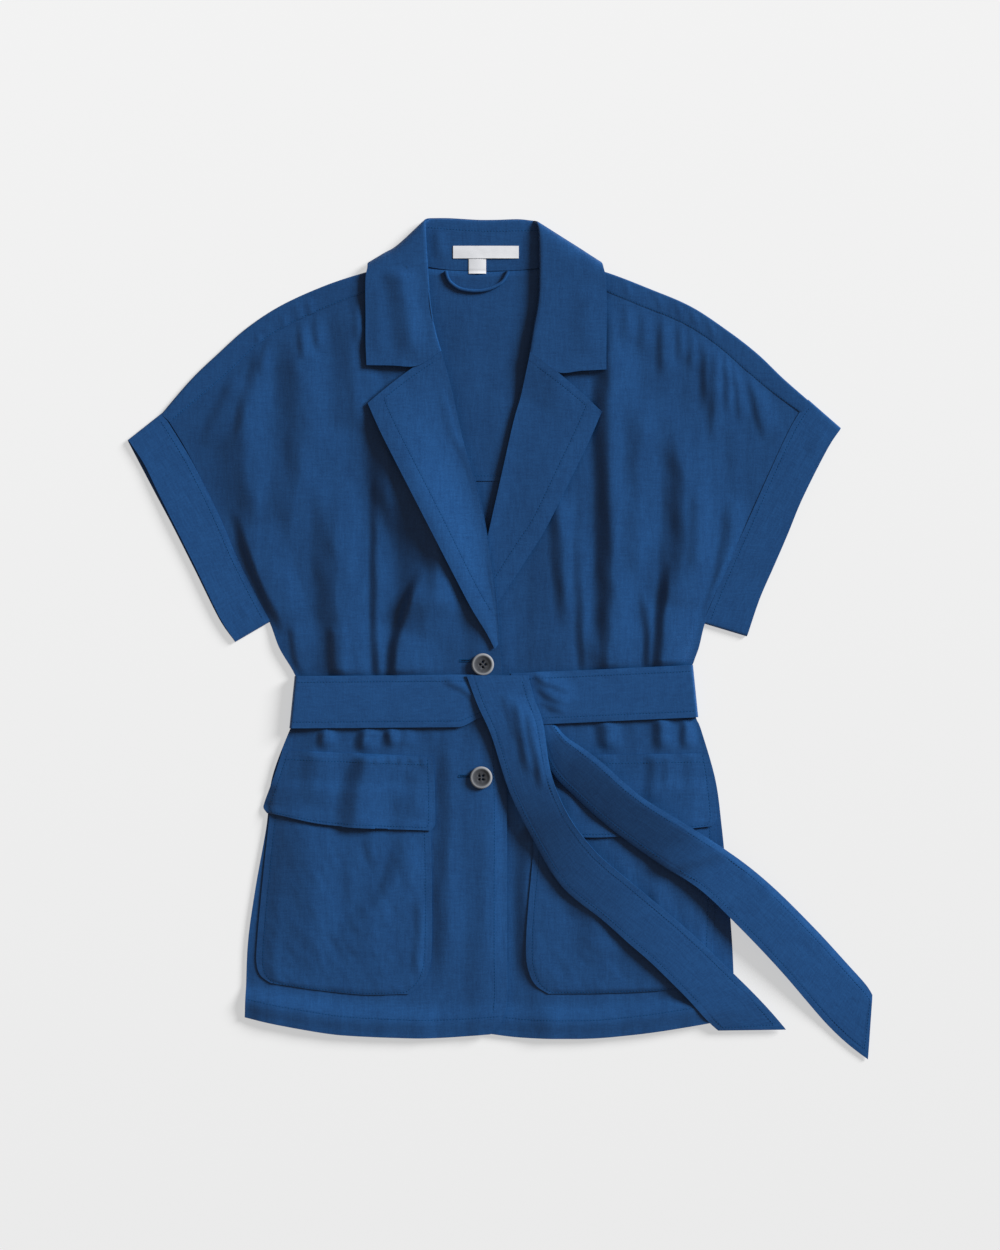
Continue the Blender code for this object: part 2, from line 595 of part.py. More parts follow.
def make_collar():
    wraps = LEFT_COLLAR + list(reversed(RIGHT_COLLAR))

    def place(along, across):
        wrap = wraps[round(along * (len(wraps) - 1))]
        step = round(across * 7)
        side = -1.0 if wrap in LEFT_COLLAR else 1.0
        turn = math.radians(wrap.turn)
        out = Vector((side * 0.62, 0.78, 0.0))
        normal = out * math.cos(turn) + Vector((0.0, 0.0, math.sin(turn)))
        seam = Vector((wrap.seam_x, wrap.seam_y, wrap.mid_z))
        roll = Vector((wrap.roll_x, wrap.roll_y, wrap.mid_z))
        fall = Vector((wrap.fall_x, wrap.fall_y, wrap.mid_z))
        edge = Vector((wrap.edge_x, wrap.edge_y, wrap.mid_z))
        stand = -normal * COLLAR_ROLL
        if step == 0:
            low = seam + stand
            low.z = min(low.z, back_middle(seam.x, seam.y)) if wrap.turn == -90 else low.z
            return low
        if step == 1:
            return seam.lerp(roll, 0.5) + stand
        if step == 2:
            return roll + (seam - roll).normalized() * COLLAR_FOLD + stand
        if step == 3:
            return roll
        if step == 4:
            return roll + (fall - roll).normalized() * COLLAR_FOLD - stand
        if step == 5:
            return fall - stand
        if step == 6:
            return fall.lerp(edge, 0.5) - stand
        return edge - stand

    sheet("collar", len(wraps) - 1, 7, place)


def make_cuff(name, table):
    layers = 10
    turn_steps = 4
    around = 2 * layers + 2 * turn_steps

    def place(along, outward):
        step = round(along * around) % around
        if step <= layers:
            share, rise = step / layers, 2 * SHOULDER_TURN
        elif step < layers + turn_steps:
            angle = math.pi * (step - layers) / turn_steps
            share, rise = 1.0 + CUFF_TURN * math.sin(angle), SHOULDER_TURN * (1.0 + math.cos(angle))
        elif step <= 2 * layers + turn_steps:
            share, rise = 1.0 - (step - layers - turn_steps) / layers, 0.0
        else:
            angle = math.pi * (step - 2 * layers - turn_steps) / turn_steps
            share, rise = -CUFF_TURN * math.sin(angle), SHOULDER_TURN * (1.0 - math.cos(angle))
        inside = min(max(share, 0.0), 1.0)
        seam_x, seam_y, end_x, end_y = spread(table, mix(CUFF_END, 1.0 - CUFF_END, inside))
        seam = Vector((seam_x, seam_y))
        end = Vector((end_x, end_y))
        down = Vector((table[-1].seam_x - table[0].seam_x, table[-1].seam_y - table[0].seam_y))
        spot = seam.lerp(end, mix(CUFF_SEAM_SHARE, 1.0, outward)) + down * (share - inside)
        puff = CUFF_PUFF * outward * math.sin(math.pi * inside) * rise / (2 * SHOULDER_TURN)
        return Vector((spot.x, spot.y, CLOTH / 2 + rise + puff))

    sheet(name, around, 2, place, closed=True)


def make_pocket(name, table, under):
    def place(down, across):
        outer_x, outer_y, inner_x, inner_y = spread(table, down)
        x, y = mix(outer_x, inner_x, across), mix(outer_y, inner_y, across)
        sides = smooth(0.0, 0.08, across) * smooth(0.0, 0.08, 1.0 - across)
        puff = sides * smooth(0.0, 0.08, 1.0 - down) * smooth(-0.1, 0.1, down)
        return Vector((x, y, front_height(under, x, y) + LAYER + SEAM + POCKET_PUFF * puff))

    sheet(name, 12, 10, place)


def make_flap(name, table, under):
    def place(down, across):
        outer_x, outer_y, inner_x, inner_y = spread(table, down)
        x, y = mix(outer_x, inner_x, across), mix(outer_y, inner_y, across)
        over_pocket = smooth(0.08, 0.3, down)
        lift = mix(FLAP_SEAM_LIFT, POCKET_PUFF + LAYER + FLAP_GAP, over_pocket)
        lift += FLAP_PUFF * smooth(0.6, 1.0, down)
        return Vector((x, y, front_height(under, x, y) + LAYER + lift))

    sheet(name, 8, 10, place)


def make_belt_band():
    top_z, low_z = BELT_FRONT_Z, BELT_THICK / 2
    left_x, right_x = -177.5, 192.0
    left_end, right_end = -2.0, 22.0
    front_steps, turn_steps, back_steps = 6, 6, 10
    steps = 2 * front_steps + 2 * turn_steps + back_steps

    def route(step):
        middle = (top_z + low_z) / 2
        radius = (top_z - low_z) / 2
        if step <= front_steps:
            return mix(left_end, left_x, step / front_steps), top_z
        step -= front_steps
        if step <= turn_steps:
            angle = math.pi * step / turn_steps
            return left_x - BELT_TURN_REACH * math.sin(angle), middle + radius * math.cos(angle)
        step -= turn_steps
        if step <= back_steps:
            return mix(left_x, right_x, step / back_steps), low_z
        step -= back_steps
        if step <= turn_steps:
            angle = math.pi * step / turn_steps
            return right_x + BELT_TURN_REACH * math.sin(angle), middle - radius * math.cos(angle)
        return mix(right_x, right_end, (step - turn_steps) / front_steps), top_z

    def place(along, across):
        x, z = route(round(along * steps))
        lean = 0.1 * (across - 0.5) * BELT_WIDTH * smooth(120.0, 180.0, abs(x))
        y = belt_middle(x) + (across - 0.5) * (BELT_WIDTH - 2 * SEAM)
        return Vector((x + (lean if x < 0 else -lean), y, z))

    sheet("belt_band", steps, 1, place, thick=BELT_THICK)


def make_tail(name, lays):
    def place(along, across):
        x, y, z, cross, width = spread(lays, along)
        turn = math.radians(cross)
        off = (across - 0.5) * width
        return Vector((x + off * math.cos(turn), y + off * math.sin(turn), z))

    sheet(name, 2 * (len(lays) - 1), 2, place, thick=BELT_THICK)


def make_button(name, x, y, spin):
    """Turned disc with a raised rim, sewn through four holes."""
    base = front_height(False, x, y) + CLOTH / 2 + BUTTON_GAP
    profile = [(0.0, BUTTON_THICK * 0.62), (0.62, BUTTON_THICK * 0.62), (0.74, BUTTON_THICK * 0.95),
               (0.88, BUTTON_THICK), (0.97, BUTTON_THICK * 0.8), (1.0, BUTTON_THICK * 0.5),
               (0.9, BUTTON_THICK * 0.1), (0.8, 0.0), (0.0, 0.0)]
    mesh = bpy.data.meshes.new(name)
    shape = bmesh.new()
    verts = [shape.verts.new((r * BUTTON_RADIUS * MM, 0.0, z * MM)) for r, z in profile]
    edges = [shape.edges.new(pair) for pair in zip(verts, verts[1:])]
    bmesh.ops.spin(shape, geom=verts + edges, axis=(0, 0, 1), cent=(0, 0, 0), steps=20,
                   angle=2 * math.pi, use_merge=True)
    bmesh.ops.remove_doubles(shape, verts=shape.verts, dist=0.00001)
    bmesh.ops.recalc_face_normals(shape, faces=shape.faces)
    shape.to_mesh(mesh)
    shape.free()
    mesh.shade_smooth()
    button = add_object(name, mesh, horn)
    button.location = Vector((x, y, base)) * MM
    button.rotation_euler.z = math.radians(spin)
    for hole in range(4):
        angle = math.pi / 2 * hole
        tool_mesh = bpy.data.meshes.new(f"{name}_hole_{hole}")
        tool_shape = bmesh.new()
        bmesh.ops.create_cone(tool_shape, cap_ends=True, segments=8, radius1=BUTTON_HOLE * MM,
                              radius2=BUTTON_HOLE * MM, depth=4 * BUTTON_THICK * MM)
        tool_shape.to_mesh(tool_mesh)
        tool_shape.free()
        tool = bpy.data.objects.new(tool_mesh.name, tool_mesh)
        cutters.objects.link(tool)
        tool.parent = button
        tool.location = Vector((math.cos(angle), math.sin(angle), 0.0)) * BUTTON_HOLE_RING * MM
        tool.hide_render = True
        tool.display_type = "WIRE"
        cut = button.modifiers.new(tool.name, "BOOLEAN")
        cut.object = tool
        cut.operation = "DIFFERENCE"


def make_hanger_loop():
    curve = bpy.data.curves.new("hanger_loop", "CURVE")
    curve.dimensions = "3D"
    curve.bevel_depth = LOOP_THICK / 2 * MM
    curve.bevel_resolution = 2
    curve.use_fill_caps = True
    spline = curve.splines.new("POLY")
    steps = 2 * (len(LOOP_ROUTE) - 1)
    spline.points.add(steps)
    for index, point in enumerate(spline.points):
        x, y = spread(LOOP_ROUTE, index / steps)
        z = back_middle(x, y) + CLOTH / 2 + SEAM + LOOP_THICK / 2
        point.co = (x * MM, y * MM, z * MM, 1.0)
    add_object("hanger_loop", curve, cloth)


def make_labels():
    """Blank tapes on the inside of the collar's stand."""
    for name, box, lift in (("neck_label", LABEL_BOX, 0.0), ("size_tab", TAB_BOX, TAB_LIFT)):
        left, right, low, high = box

        def place(across, up):
            y = mix(low, high, up)
            stand_z = mix(STAND_LOW_Z, STAND_HIGH_Z, smooth(712.0, 736.0, y))
            return Vector((mix(left, right, across), y, stand_z + LAYER + LABEL_GAP + lift))

        piece = sheet(name, 2, 2, place)
        piece.data.materials[0] = paper


for old in list(bpy.data.objects):
    bpy.data.objects.remove(old, do_unlink=True)

jacket = bpy.data.collections.new("shirt_jacket")
cutters = bpy.data.collections.new("shirt_jacket_cutters")
bpy.context.scene.collection.children.link(jacket)
bpy.context.scene.collection.children.link(cutters)
origin = bpy.data.objects.new("garment_plan", None)
origin.location = FRAME_SHIFT * MM
jacket.objects.link(origin)

cloth = material("blue_twill", CLOTH_BLUE, 0.8)
horn = material("button_horn", BUTTON_GREY, 0.35)
paper = material("label_white", LABEL_WHITE, 0.7)

make_back_panel()
make_back_yoke()
make_fronts()
make_lapel("lapel_left", LEFT_LAPEL, False)
make_lapel("lapel_right", RIGHT_LAPEL, True)
make_collar()
make_cuff("cuff_left", LEFT_CUFF)
make_cuff("cuff_right", RIGHT_CUFF)
make_pocket("pocket_left", LEFT_POCKET, False)
make_pocket("pocket_right", RIGHT_POCKET, True)
make_flap("flap_left", LEFT_FLAP, False)
make_flap("flap_right", RIGHT_FLAP, True)
make_belt_band()
make_tail("belt_tail_over", TAIL_OVER)
make_tail("belt_tail_under", TAIL_UNDER)
for button_name, (button_x, button_y, button_spin) in BUTTONS.items():
    make_button(button_name, button_x, button_y, button_spin)
make_hanger_loop()
make_labels()
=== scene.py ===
import math

import bmesh
import bpy
import numpy as np
from mathutils import Matrix, Vector, noise
from mathutils.bvhtree import BVHTree


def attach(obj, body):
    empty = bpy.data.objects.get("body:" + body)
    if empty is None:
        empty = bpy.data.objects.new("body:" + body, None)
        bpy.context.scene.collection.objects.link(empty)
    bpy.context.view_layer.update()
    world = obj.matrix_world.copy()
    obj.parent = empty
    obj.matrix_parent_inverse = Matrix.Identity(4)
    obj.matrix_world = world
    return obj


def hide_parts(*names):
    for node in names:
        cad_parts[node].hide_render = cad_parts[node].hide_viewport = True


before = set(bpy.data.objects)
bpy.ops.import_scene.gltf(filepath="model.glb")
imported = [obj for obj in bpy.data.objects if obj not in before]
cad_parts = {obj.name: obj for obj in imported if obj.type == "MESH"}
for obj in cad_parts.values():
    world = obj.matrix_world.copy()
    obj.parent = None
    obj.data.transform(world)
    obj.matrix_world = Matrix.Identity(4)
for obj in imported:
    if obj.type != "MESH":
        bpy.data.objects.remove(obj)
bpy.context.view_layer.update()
print("frame loaded:", len(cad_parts), "nodes")

# Plan sizes are millimetres: x from the centre front, y up from the hem line, z from the floor
garment = {
    "shift": (-15, -370, 0),  # from the plan to the part's frame
    "metre": 0.001,
    "wall": 0.8,
    "step": 1.3,              # from one layer of cloth to the next
    "narrow": 0.06,           # width of the cells along a free edge, as a share of a cell
    "inland": 60.0,           # from here on an edge counts as far away
    "ceiling": 200.0,         # above everything
}
creaseForm = {
    "light": (0.86, 0.5),     # the photo's light comes from here
    "relief": 1.05,
    "runOut": 1.6,
    "fade": 0.28,             # share of its length over which a crease dies away at each end
    "waver": 0.35,
    "waverSize": (22.0, 30.0),
    "flank": 1.3,
    "crest": 1.1,
}
finishes = {}
surfaces = {}
seams = []


def ease(low, high, value):
    share = np.clip((value - low) / (high - low), 0.0, 1.0)
    return share * share * (3.0 - 2.0 * share)


def inner(width, share):  # nothing at both ends, full past this width
    return ease(0.0, width, share) * ease(0.0, width, 1.0 - share)


def between(first, second, share):
    return first + (second - first) * share


def crossLine(row, share):  # from a row's first place to its second
    return between(row[..., 0], row[..., 2], share), between(row[..., 1], row[..., 3], share)


def along(rows, share):  # smooth line through the rows of a table
    rows = np.asarray(rows, dtype=float)
    share = np.asarray(share, dtype=float)
    place = np.clip(share, 0.0, 1.0) * (len(rows) - 1)
    index = np.minimum(place.astype(int), len(rows) - 2)
    part = (place - index).reshape(share.shape + (1,) * (rows.ndim - 1))
    before = rows[np.maximum(index - 1, 0)]
    first = rows[index]
    second = rows[index + 1]
    after = rows[np.minimum(index + 2, len(rows) - 1)]
    bend = 2.0 * before - 5.0 * first + 4.0 * second - after
    twist = 3.0 * first - 3.0 * second + after - before
    return 0.5 * (2.0 * first + (second - before) * part + bend * part ** 2 + twist * part ** 3)


def ripple(x, y, wide, tall, seed):  # smooth noise with its own size across and along
    spots = zip(np.ravel(x) / wide, np.ravel(y) / tall)
    return np.array([noise.noise((a, b, seed)) for a, b in spots]).reshape(np.shape(x))


def soften(field, passes):
    for _ in range(passes):
        wide = np.pad(field, 1, mode="edge")
        sides = wide[:-2, 1:-1] + wide[2:, 1:-1] + wide[1:-1, :-2] + wide[1:-1, 2:]
        field = (4.0 * field + sides) / 8.0
    return field


def creaseHeight(x, y, creases):
    # a crease rises over its dark flank, which its points follow, and runs out towards the light
    total = np.zeros(np.shape(x))
    lightX, lightY = creaseForm["light"]
    for points, dark, run, height in creases:
        run = run * creaseForm["runOut"]
        flank = creaseForm["flank"] * dark
        path = along(points, np.linspace(0.0, 1.0, 6 * len(points)))
        reach = run + 3.0 * dark
        low = path.min(axis=0) - reach
        high = path.max(axis=0) + reach
        near = (x > low[0]) & (x < high[0]) & (y > low[1]) & (y < high[1])
        if not near.any():
            continue
        px, py = x[near], y[near]
        best = np.full(px.shape, np.inf)
        offset = np.zeros(px.shape)
        share = np.zeros(px.shape)
        span = path[-1] - path[0]
        facing = 1.0 if span[0] * lightY - span[1] * lightX > 0.0 else -1.0
        for index, (start, stop) in enumerate(zip(path, path[1:])):
            way = stop - start
            part = ((px - start[0]) * way[0] + (py - start[1]) * way[1]) / max(way @ way, 1e-9)
            part = np.clip(part, 0.0, 1.0)
            offX = px - start[0] - part * way[0]
            offY = py - start[1] - part * way[1]
            away = np.hypot(offX, offY)
            closer = away < best
            best = np.where(closer, away, best)
            signed = np.where((way[0] * offY - way[1] * offX) * facing < 0.0, -away, away)
            offset = np.where(closer, signed, offset)
            share = np.where(closer, (index + part) / (len(path) - 1), share)
        offset = offset + creaseForm["waver"] * dark * ripple(px, py, *creaseForm["waverSize"], points[0][1])
        down = np.clip((offset - creaseForm["crest"] * dark) / run, 0.0, 1.0)
        rise = ease(-flank, flank, offset) * (1.0 - 0.5 * (down + ease(0.0, 1.0, down)))
        total[near] += creaseForm["relief"] * height * inner(creaseForm["fade"], share) * rise
    return total


def heightUnder(name, x, y):  # of a finished piece straight below, or under the floor where it isn't
    start = Vector((x, y, garment["ceiling"]))
    hit = surfaces[name]["tree"].ray_cast(start, Vector((0.0, 0.0, -1.0)))[0]
    return -1.0 if hit is None else hit.z


def restingHeight(x, y, names):  # highest surface under each place
    places = list(zip(np.ravel(x), np.ravel(y)))
    heights = [[heightUnder(name, px, py) for px, py in places] for name in names]
    return np.max(heights, axis=0).reshape(np.shape(x))


def toMetres(spots):
    return (np.asarray(spots) + np.array(garment["shift"])) * garment["metre"]


def placeObject(name, mesh, finish, nodes):
    piece = bpy.data.objects.new(name, mesh)
    bpy.context.scene.collection.objects.link(piece)
    mesh.materials.append(finishes[finish])
    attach(piece, "root")
    if nodes:
        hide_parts(*nodes)
    return piece


def addGrid(shape, spots, edge, paintedShade, grain=None):  # one grid of cloth into a bmesh
    rows, cols = spots.shape[0] - 1, spots.shape[1] - 1
    if grain is None:
        grain = spots[..., :2] * garment["metre"]
    edge = np.broadcast_to(edge, spots.shape[:2])
    paintedShade = np.broadcast_to(paintedShade, spots.shape[:2])
    floats = shape.verts.layers.float
    uv = shape.loops.layers.uv.get("grain") or shape.loops.layers.uv.new("grain")
    border = floats.get("border") or floats.new("border")
    # the paintedShade layer holds a colour factor for each place: painted light and shade
    tone = floats.get("paintedShade") or floats.new("paintedShade")
    made = bmesh.ops.create_grid(shape, x_segments=cols, y_segments=rows, size=0.5)["verts"]
    placed = toMetres(spots)
    at = {}
    for vert in made:
        at[vert] = (round((vert.co.y + 0.5) * rows), round((vert.co.x + 0.5) * cols))
    for vert, spot in at.items():
        vert.co = placed[spot]
        vert[border] = edge[spot]
        vert[tone] = paintedShade[spot]
    for face in {face for vert in made for face in vert.link_faces}:
        for loop in face.loops:
            loop[uv].uv = grain[at[loop.vert]]


def shares(count, first=True, last=True):  # narrow cells keep a free edge crisp
    made = np.linspace(0.0, 1.0, count + 1)
    if first:
        made[1] = garment["narrow"] / count
    if last:
        made[-2] = 1.0 - garment["narrow"] / count
    return made


def gridShares(cols, rows):
    return np.meshgrid(shares(cols), shares(rows))


# paintedShade darkens or lightens the cloth's colour piece by piece as painted light and shade; 1.06 where
# none is given
def sheet(name, cols, rows, place, nodes, finish="blueCloth", slot="cloth", wall=garment["wall"], grain=None,
          edge=garment["inland"], closed=False, paintedShade=1.06):
    u, v = gridShares(cols, rows)
    spots = np.stack(place(u, v), axis=-1)
    if not closed:  # the narrow cells run on at the slope beside them
        slope = garment["narrow"] / (1.0 - garment["narrow"])
        z = spots[..., 2]
        z[[0, -1]] = between(z[[1, -2]], z[[2, -3]], -slope)
        z[:, [0, -1]] = between(z[:, [1, -2]], z[:, [2, -3]], -slope)
    shape = bmesh.new()
    addGrid(shape, spots, edge, paintedShade, grain)
    finishSheet(name, shape, nodes, finish, wall, closed)
    keepSurface(name, spots, u[0], v[:, 0], wall)


def finishSheet(name, shape, nodes, finish, wall, closed):
    if closed:
        bmesh.ops.remove_doubles(shape, verts=shape.verts, dist=0.00002)
    bmesh.ops.recalc_face_normals(shape, faces=shape.faces)
    piece = placeObject(name, toMesh(name, shape), finish, nodes)
    thick = piece.modifiers.new("wall", "SOLIDIFY")
    thick.thickness = wall * garment["metre"]
    thick.offset = 0.0


def toMesh(name, shape, smooth=True):
    mesh = bpy.data.meshes.new(name)
    shape.to_mesh(mesh)
    shape.free()
    if smooth:
        mesh.shade_smooth()
    return mesh


def keepSurface(name, spots, u, v, wall):  # what lies on this piece and what is sewn to it finds it here
    index = np.arange(spots[..., 0].size).reshape(spots.shape[:2])
    corners = np.stack((index[:-1, :-1], index[:-1, 1:], index[1:, 1:], index[1:, :-1]), axis=-1)
    tree = BVHTree.FromPolygons(spots.reshape(-1, 3).tolist(), corners.reshape(-1, 4).tolist())
    surfaces[name] = {"spots": spots, "tree": tree, "u": u, "v": v, "wall": wall}


def sew(name, corners):  # a row of stitches through these shares of a sheet
    seams.append((name, np.array(corners, dtype=float)))


def levelLine(field, level, u, v):  # where a field first comes up to a level, column by column
    return [(share, np.interp(level, field[:, col], v)) for col, share in enumerate(u)]


class Wire:  # a shader socket that takes part in sums
    def __init__(self, socket):
        self.socket = socket

    def node(self, kind, settings, inputs, out=0):
        tree = self.socket.id_data
        made = tree.nodes.new(kind)
        for key, value in settings.items():
            setattr(made, key, value)
        for key, value in inputs.items():
            if isinstance(value, Wire):
                tree.links.new(made.inputs[key], value.socket)
            else:
                made.inputs[key].default_value = value
        return Wire(made.outputs[out])

    def math(self, operation, first, second):
        return self.node("ShaderNodeMath", {"operation": operation}, {0: first, 1: second})

    def __add__(self, other):
        return self.math("ADD", self, other)

    def __radd__(self, other):
        return self.math("ADD", other, self)

    def __sub__(self, other):
        return self.math("SUBTRACT", self, other)

    def __rsub__(self, other):
        return self.math("SUBTRACT", other, self)

    def __mul__(self, other):
        return self.math("MULTIPLY", self, other)

    def __rmul__(self, other):
        return self.math("MULTIPLY", other, self)

    def __truediv__(self, other):
        return self.math("DIVIDE", self, other)

    def __pow__(self, other):
        return self.math("POWER", self, other)

    def __abs__(self):
        return self.math("ABSOLUTE", self, 0.0)


def newFinish(name, settings):
    made = bpy.data.materials.new(name)
    made.use_nodes = True
    shader = made.node_tree.nodes["Principled BSDF"]
    for key, value in settings.items():
        shader.inputs[key].default_value = value
    finishes[name] = made
    return shader, Wire(shader.outputs[0])


def feed(shader, key, wire):
    shader.id_data.links.new(shader.inputs[key], wire.socket)


def stretchedNoise(start, coords, size, detail, wander=0.0):
    moved = start.node("ShaderNodeMapping", {}, {"Vector": coords, "Scale": size})
    look = {"Scale": 1.0, "Detail": detail, "Roughness": 0.55, "Distortion": wander}
    return start.node("ShaderNodeTexNoise", {}, {"Vector": moved, **look})


def mixColours(start, factor, first, second, blend="MIX"):
    settings = {"data_type": "RGBA", "blend_type": blend}
    return start.node("ShaderNodeMix", settings, {"Factor": factor, 6: first, 7: second}, out=2)


def readAttribute(start, name, out="Fac"):
    return start.node("ShaderNodeAttribute", {"attribute_name": name}, {}, out=out)


def bump(shader, start, height, strength, depth):
    inputs = {"Strength": strength, "Distance": depth, "Height": height}
    feed(shader, "Normal", start.node("ShaderNodeBump", {}, inputs))


weave = {
    "dark": (0.0088, 0.0500, 0.157, 1.0),
    "light": (0.0138, 0.0760, 0.225, 1.0),
    "slubs": [                  # counts a metre across and along the grain, detail, wander, weight
        ((430, 62, 1), 3.0, 0.9, 0.31),
        ((84, 520, 1), 3.0, 0.9, 0.28),
        ((70, 34, 1), 2.0, 0.0, 0.12),
        ((700, 700, 1), 1.0, 0.0, 0.29),
    ],
    "span": (0.38, 0.62),       # slub that gives the dark and the light colour
    "sheen": 0.66,
    "rough": 0.74,
    "smoothed": 0.2,            # how much smoother the thick threads are
    "groove": (0.9, 0.05, 0.25),  # of a row of stitches: width, painted shade in its groove, depth
    "bump": 0.30,
    "depth": 0.0006,
}
stitchLines = {"blueCloth": 6.0, "lapelCloth": 12.5, "hemCloth": 17.0}  # distance from the edge


def makeBlueCloth(name, stitchLine):
    shader, start = newFinish(name, {"Specular IOR Level": weave["sheen"]})
    grain = start.node("ShaderNodeUVMap", {"uv_map": "grain"}, {})
    parts = [share * stretchedNoise(start, grain, *look) for *look, share in weave["slubs"]]
    slub = sum(parts[1:], parts[0])
    wide, grooveShade, deeper = weave["groove"]
    border = readAttribute(start, "border")
    groove = start.math("EXPONENT", -1.0 * abs((border - stitchLine) / wide) ** 2.0, 0.0)
    low, high = weave["span"]
    # painted shade: the colour is darker in the stitches' groove, which the bump dents
    tone = start.node("ShaderNodeMapRange", {}, {0: slub - grooveShade * groove, 1: low, 2: high, 3: 0.0, 4: 1.0})
    colour = mixColours(start, tone, weave["dark"], weave["light"])
    # the colour is multiplied by each place's painted light and shade
    paintedShade = readAttribute(start, "paintedShade", out="Color")
    feed(shader, "Base Color", mixColours(start, 1.0, colour, paintedShade, "MULTIPLY"))
    feed(shader, "Roughness", weave["rough"] - weave["smoothed"] * slub)
    bump(shader, start, slub - deeper * groove, weave["bump"], weave["depth"])


for clothName, clothLine in stitchLines.items():
    makeBlueCloth(clothName, clothLine)
print("cloth finishes made")

neck = {"seam": [(-40, 713), (-13, 711.7), (13, 711.7), (40, 713)], "yokeSeam": 517.0}
beltWay = {"y": 313.0, "width": 49.0, "rightRise": 0.046, "leftRise": 0.008, "thick": 1.2}
backLift = {
    "cloth": 0.5,
    "belt": 1.5, "besideBelt": (24.0, 56.0),
    "fall": 1.6, "fallUp": (630.0, 684.0), "fallSide": (126.0, 166.0),
}


def beltMiddle(x):
    return beltWay["y"] + np.where(x > 0.0, beltWay["rightRise"], beltWay["leftRise"]) * x


def offBelt(x, y):
    return np.abs(y - beltMiddle(x)) - beltWay["width"] / 2


def backMiddle(x, y):  # the back's cloth, lifted by the belt and the collar's fall under it
    overBelt = backLift["belt"] * (1.0 - ease(*backLift["besideBelt"], offBelt(x, y)))
    overFall = backLift["fall"] * ease(*backLift["fallUp"], y) * (1.0 - ease(*backLift["fallSide"], np.abs(x)))
    return backLift["cloth"] + overBelt + overFall


# Left and right are as seen from above with the collar at the top. Section columns are level,
# side x and y, and centre front x and y. Crease columns are points, dark flank, run-out, height.
leftFront = {
    "node": "front_left",
    "lapsOver": True,
    "seed": 3.1,
    "sections": [
        (0.00, -224, 19, 4, 3.5), (0.04, -223, 45, 18.5, 26), (0.11, -221, 90, 19.5, 84),
        (0.18, -214, 140, 19.5, 138), (0.26, -204, 196, 19.5, 194), (0.32, -199, 240, 19, 240),
        (0.3857, -183, 284, 17.6, 284), (0.40, -178, 294, 17.2, 294.3), (0.4457, -175, 326, 15.6, 327.6),
        (0.4643, -178.4, 339, 14.8, 341), (0.50, -192, 362, 13, 366), (0.54, -202, 388, 10.5, 404),
        (0.61, -219.8, 419, 4.5, 448), (0.70, -240.3, 462, -6, 505),
        (0.80, -259.1, 503, -22, 558), (0.91, -280.1, 543, -42, 632), (1.00, -297.9, 572, -80, 706),
    ],
    "seam": [(-294.5, 572.3), (-262, 600), (-238, 621), (-213, 645), (-183, 664), (-143, 682),
             (-104, 697), (-80.5, 706.3)],
    "hem": [(-224, 19), (-200, 13.5), (-172, 8.2), (-136, 2.8), (-80, 0), (-43, 0), (4, 3.5)],
    "creases": [
        ([(-226, 628), (-238, 565), (-234, 505), (-226, 470)], 13, 24, 3.4),
        ([(-213, 648), (-222, 600), (-241, 545)], 4.5, 13, 2.2),
        ([(-234, 618), (-250, 585), (-267, 550)], 4.5, 12, 1.6),
        ([(-236, 492), (-226, 458), (-216, 428), (-206, 396), (-200, 370)], 4.4, 22, 4.8),
        ([(-194, 668), (-188, 622), (-182, 570), (-190, 505), (-203, 440)], 12, 26, 4.8),
        ([(-150, 530), (-151, 460), (-149, 400), (-142, 345), (-140, 288)], 10, 24, 4.8),
        ([(-105, 566), (-105, 470), (-105, 400), (-103, 345), (-102, 287)], 3.6, 12, 3.2),
        ([(-99, 558), (-88, 514), (-72, 474), (-63, 440), (-72, 407), (-84, 380)], 19, 26, 10.6),
        ([(-100, 562), (-99, 530), (-97, 500), (-94, 468)], 6, 14, 3.2),
        ([(-60, 440), (-72, 408), (-82, 378), (-88, 346), (-90, 286)], 4.4, 26, 7),
        ([(-141, 690), (-139, 645), (-133, 590), (-128, 560)], 12, 16, 3.2),
        ([(-182, 385), (-180, 362), (-177, 330)], 3.2, 11, 1.6),
        ([(-147, 384), (-144, 362), (-141, 326)], 4, 9, 1.9),
        ([(-43, 292), (-42, 210), (-43, 120), (-45, 40)], 8, 44, 3.6),
        ([(-8, 250), (-6, 160), (-4, 60)], 5, 16, 0.8),
        ([(-154, 304), (-154, 286), (-155, 268)], 3.4, 9, 3.2),
        ([(-110, 306), (-115, 286), (-121, 267)], 4.5, 10, 4),
        ([(-93, 304), (-92, 286), (-89, 268)], 3, 8, 3.2),
        ([(-76, 304), (-77, 286), (-78, 269)], 2.6, 7, 1.7),
        ([(-174, 676), (-174, 655), (-171, 626)], 2.6, 7, 2),
        ([(-160, 682), (-160, 660), (-157, 636)], 2.6, 7, 1.8),
        ([(-122, 697), (-122, 672), (-120, 640)], 3, 8, 1.7),
        ([(-204, 660), (-207, 640), (-212, 612)], 2.4, 7, 1.6),
    ],
}
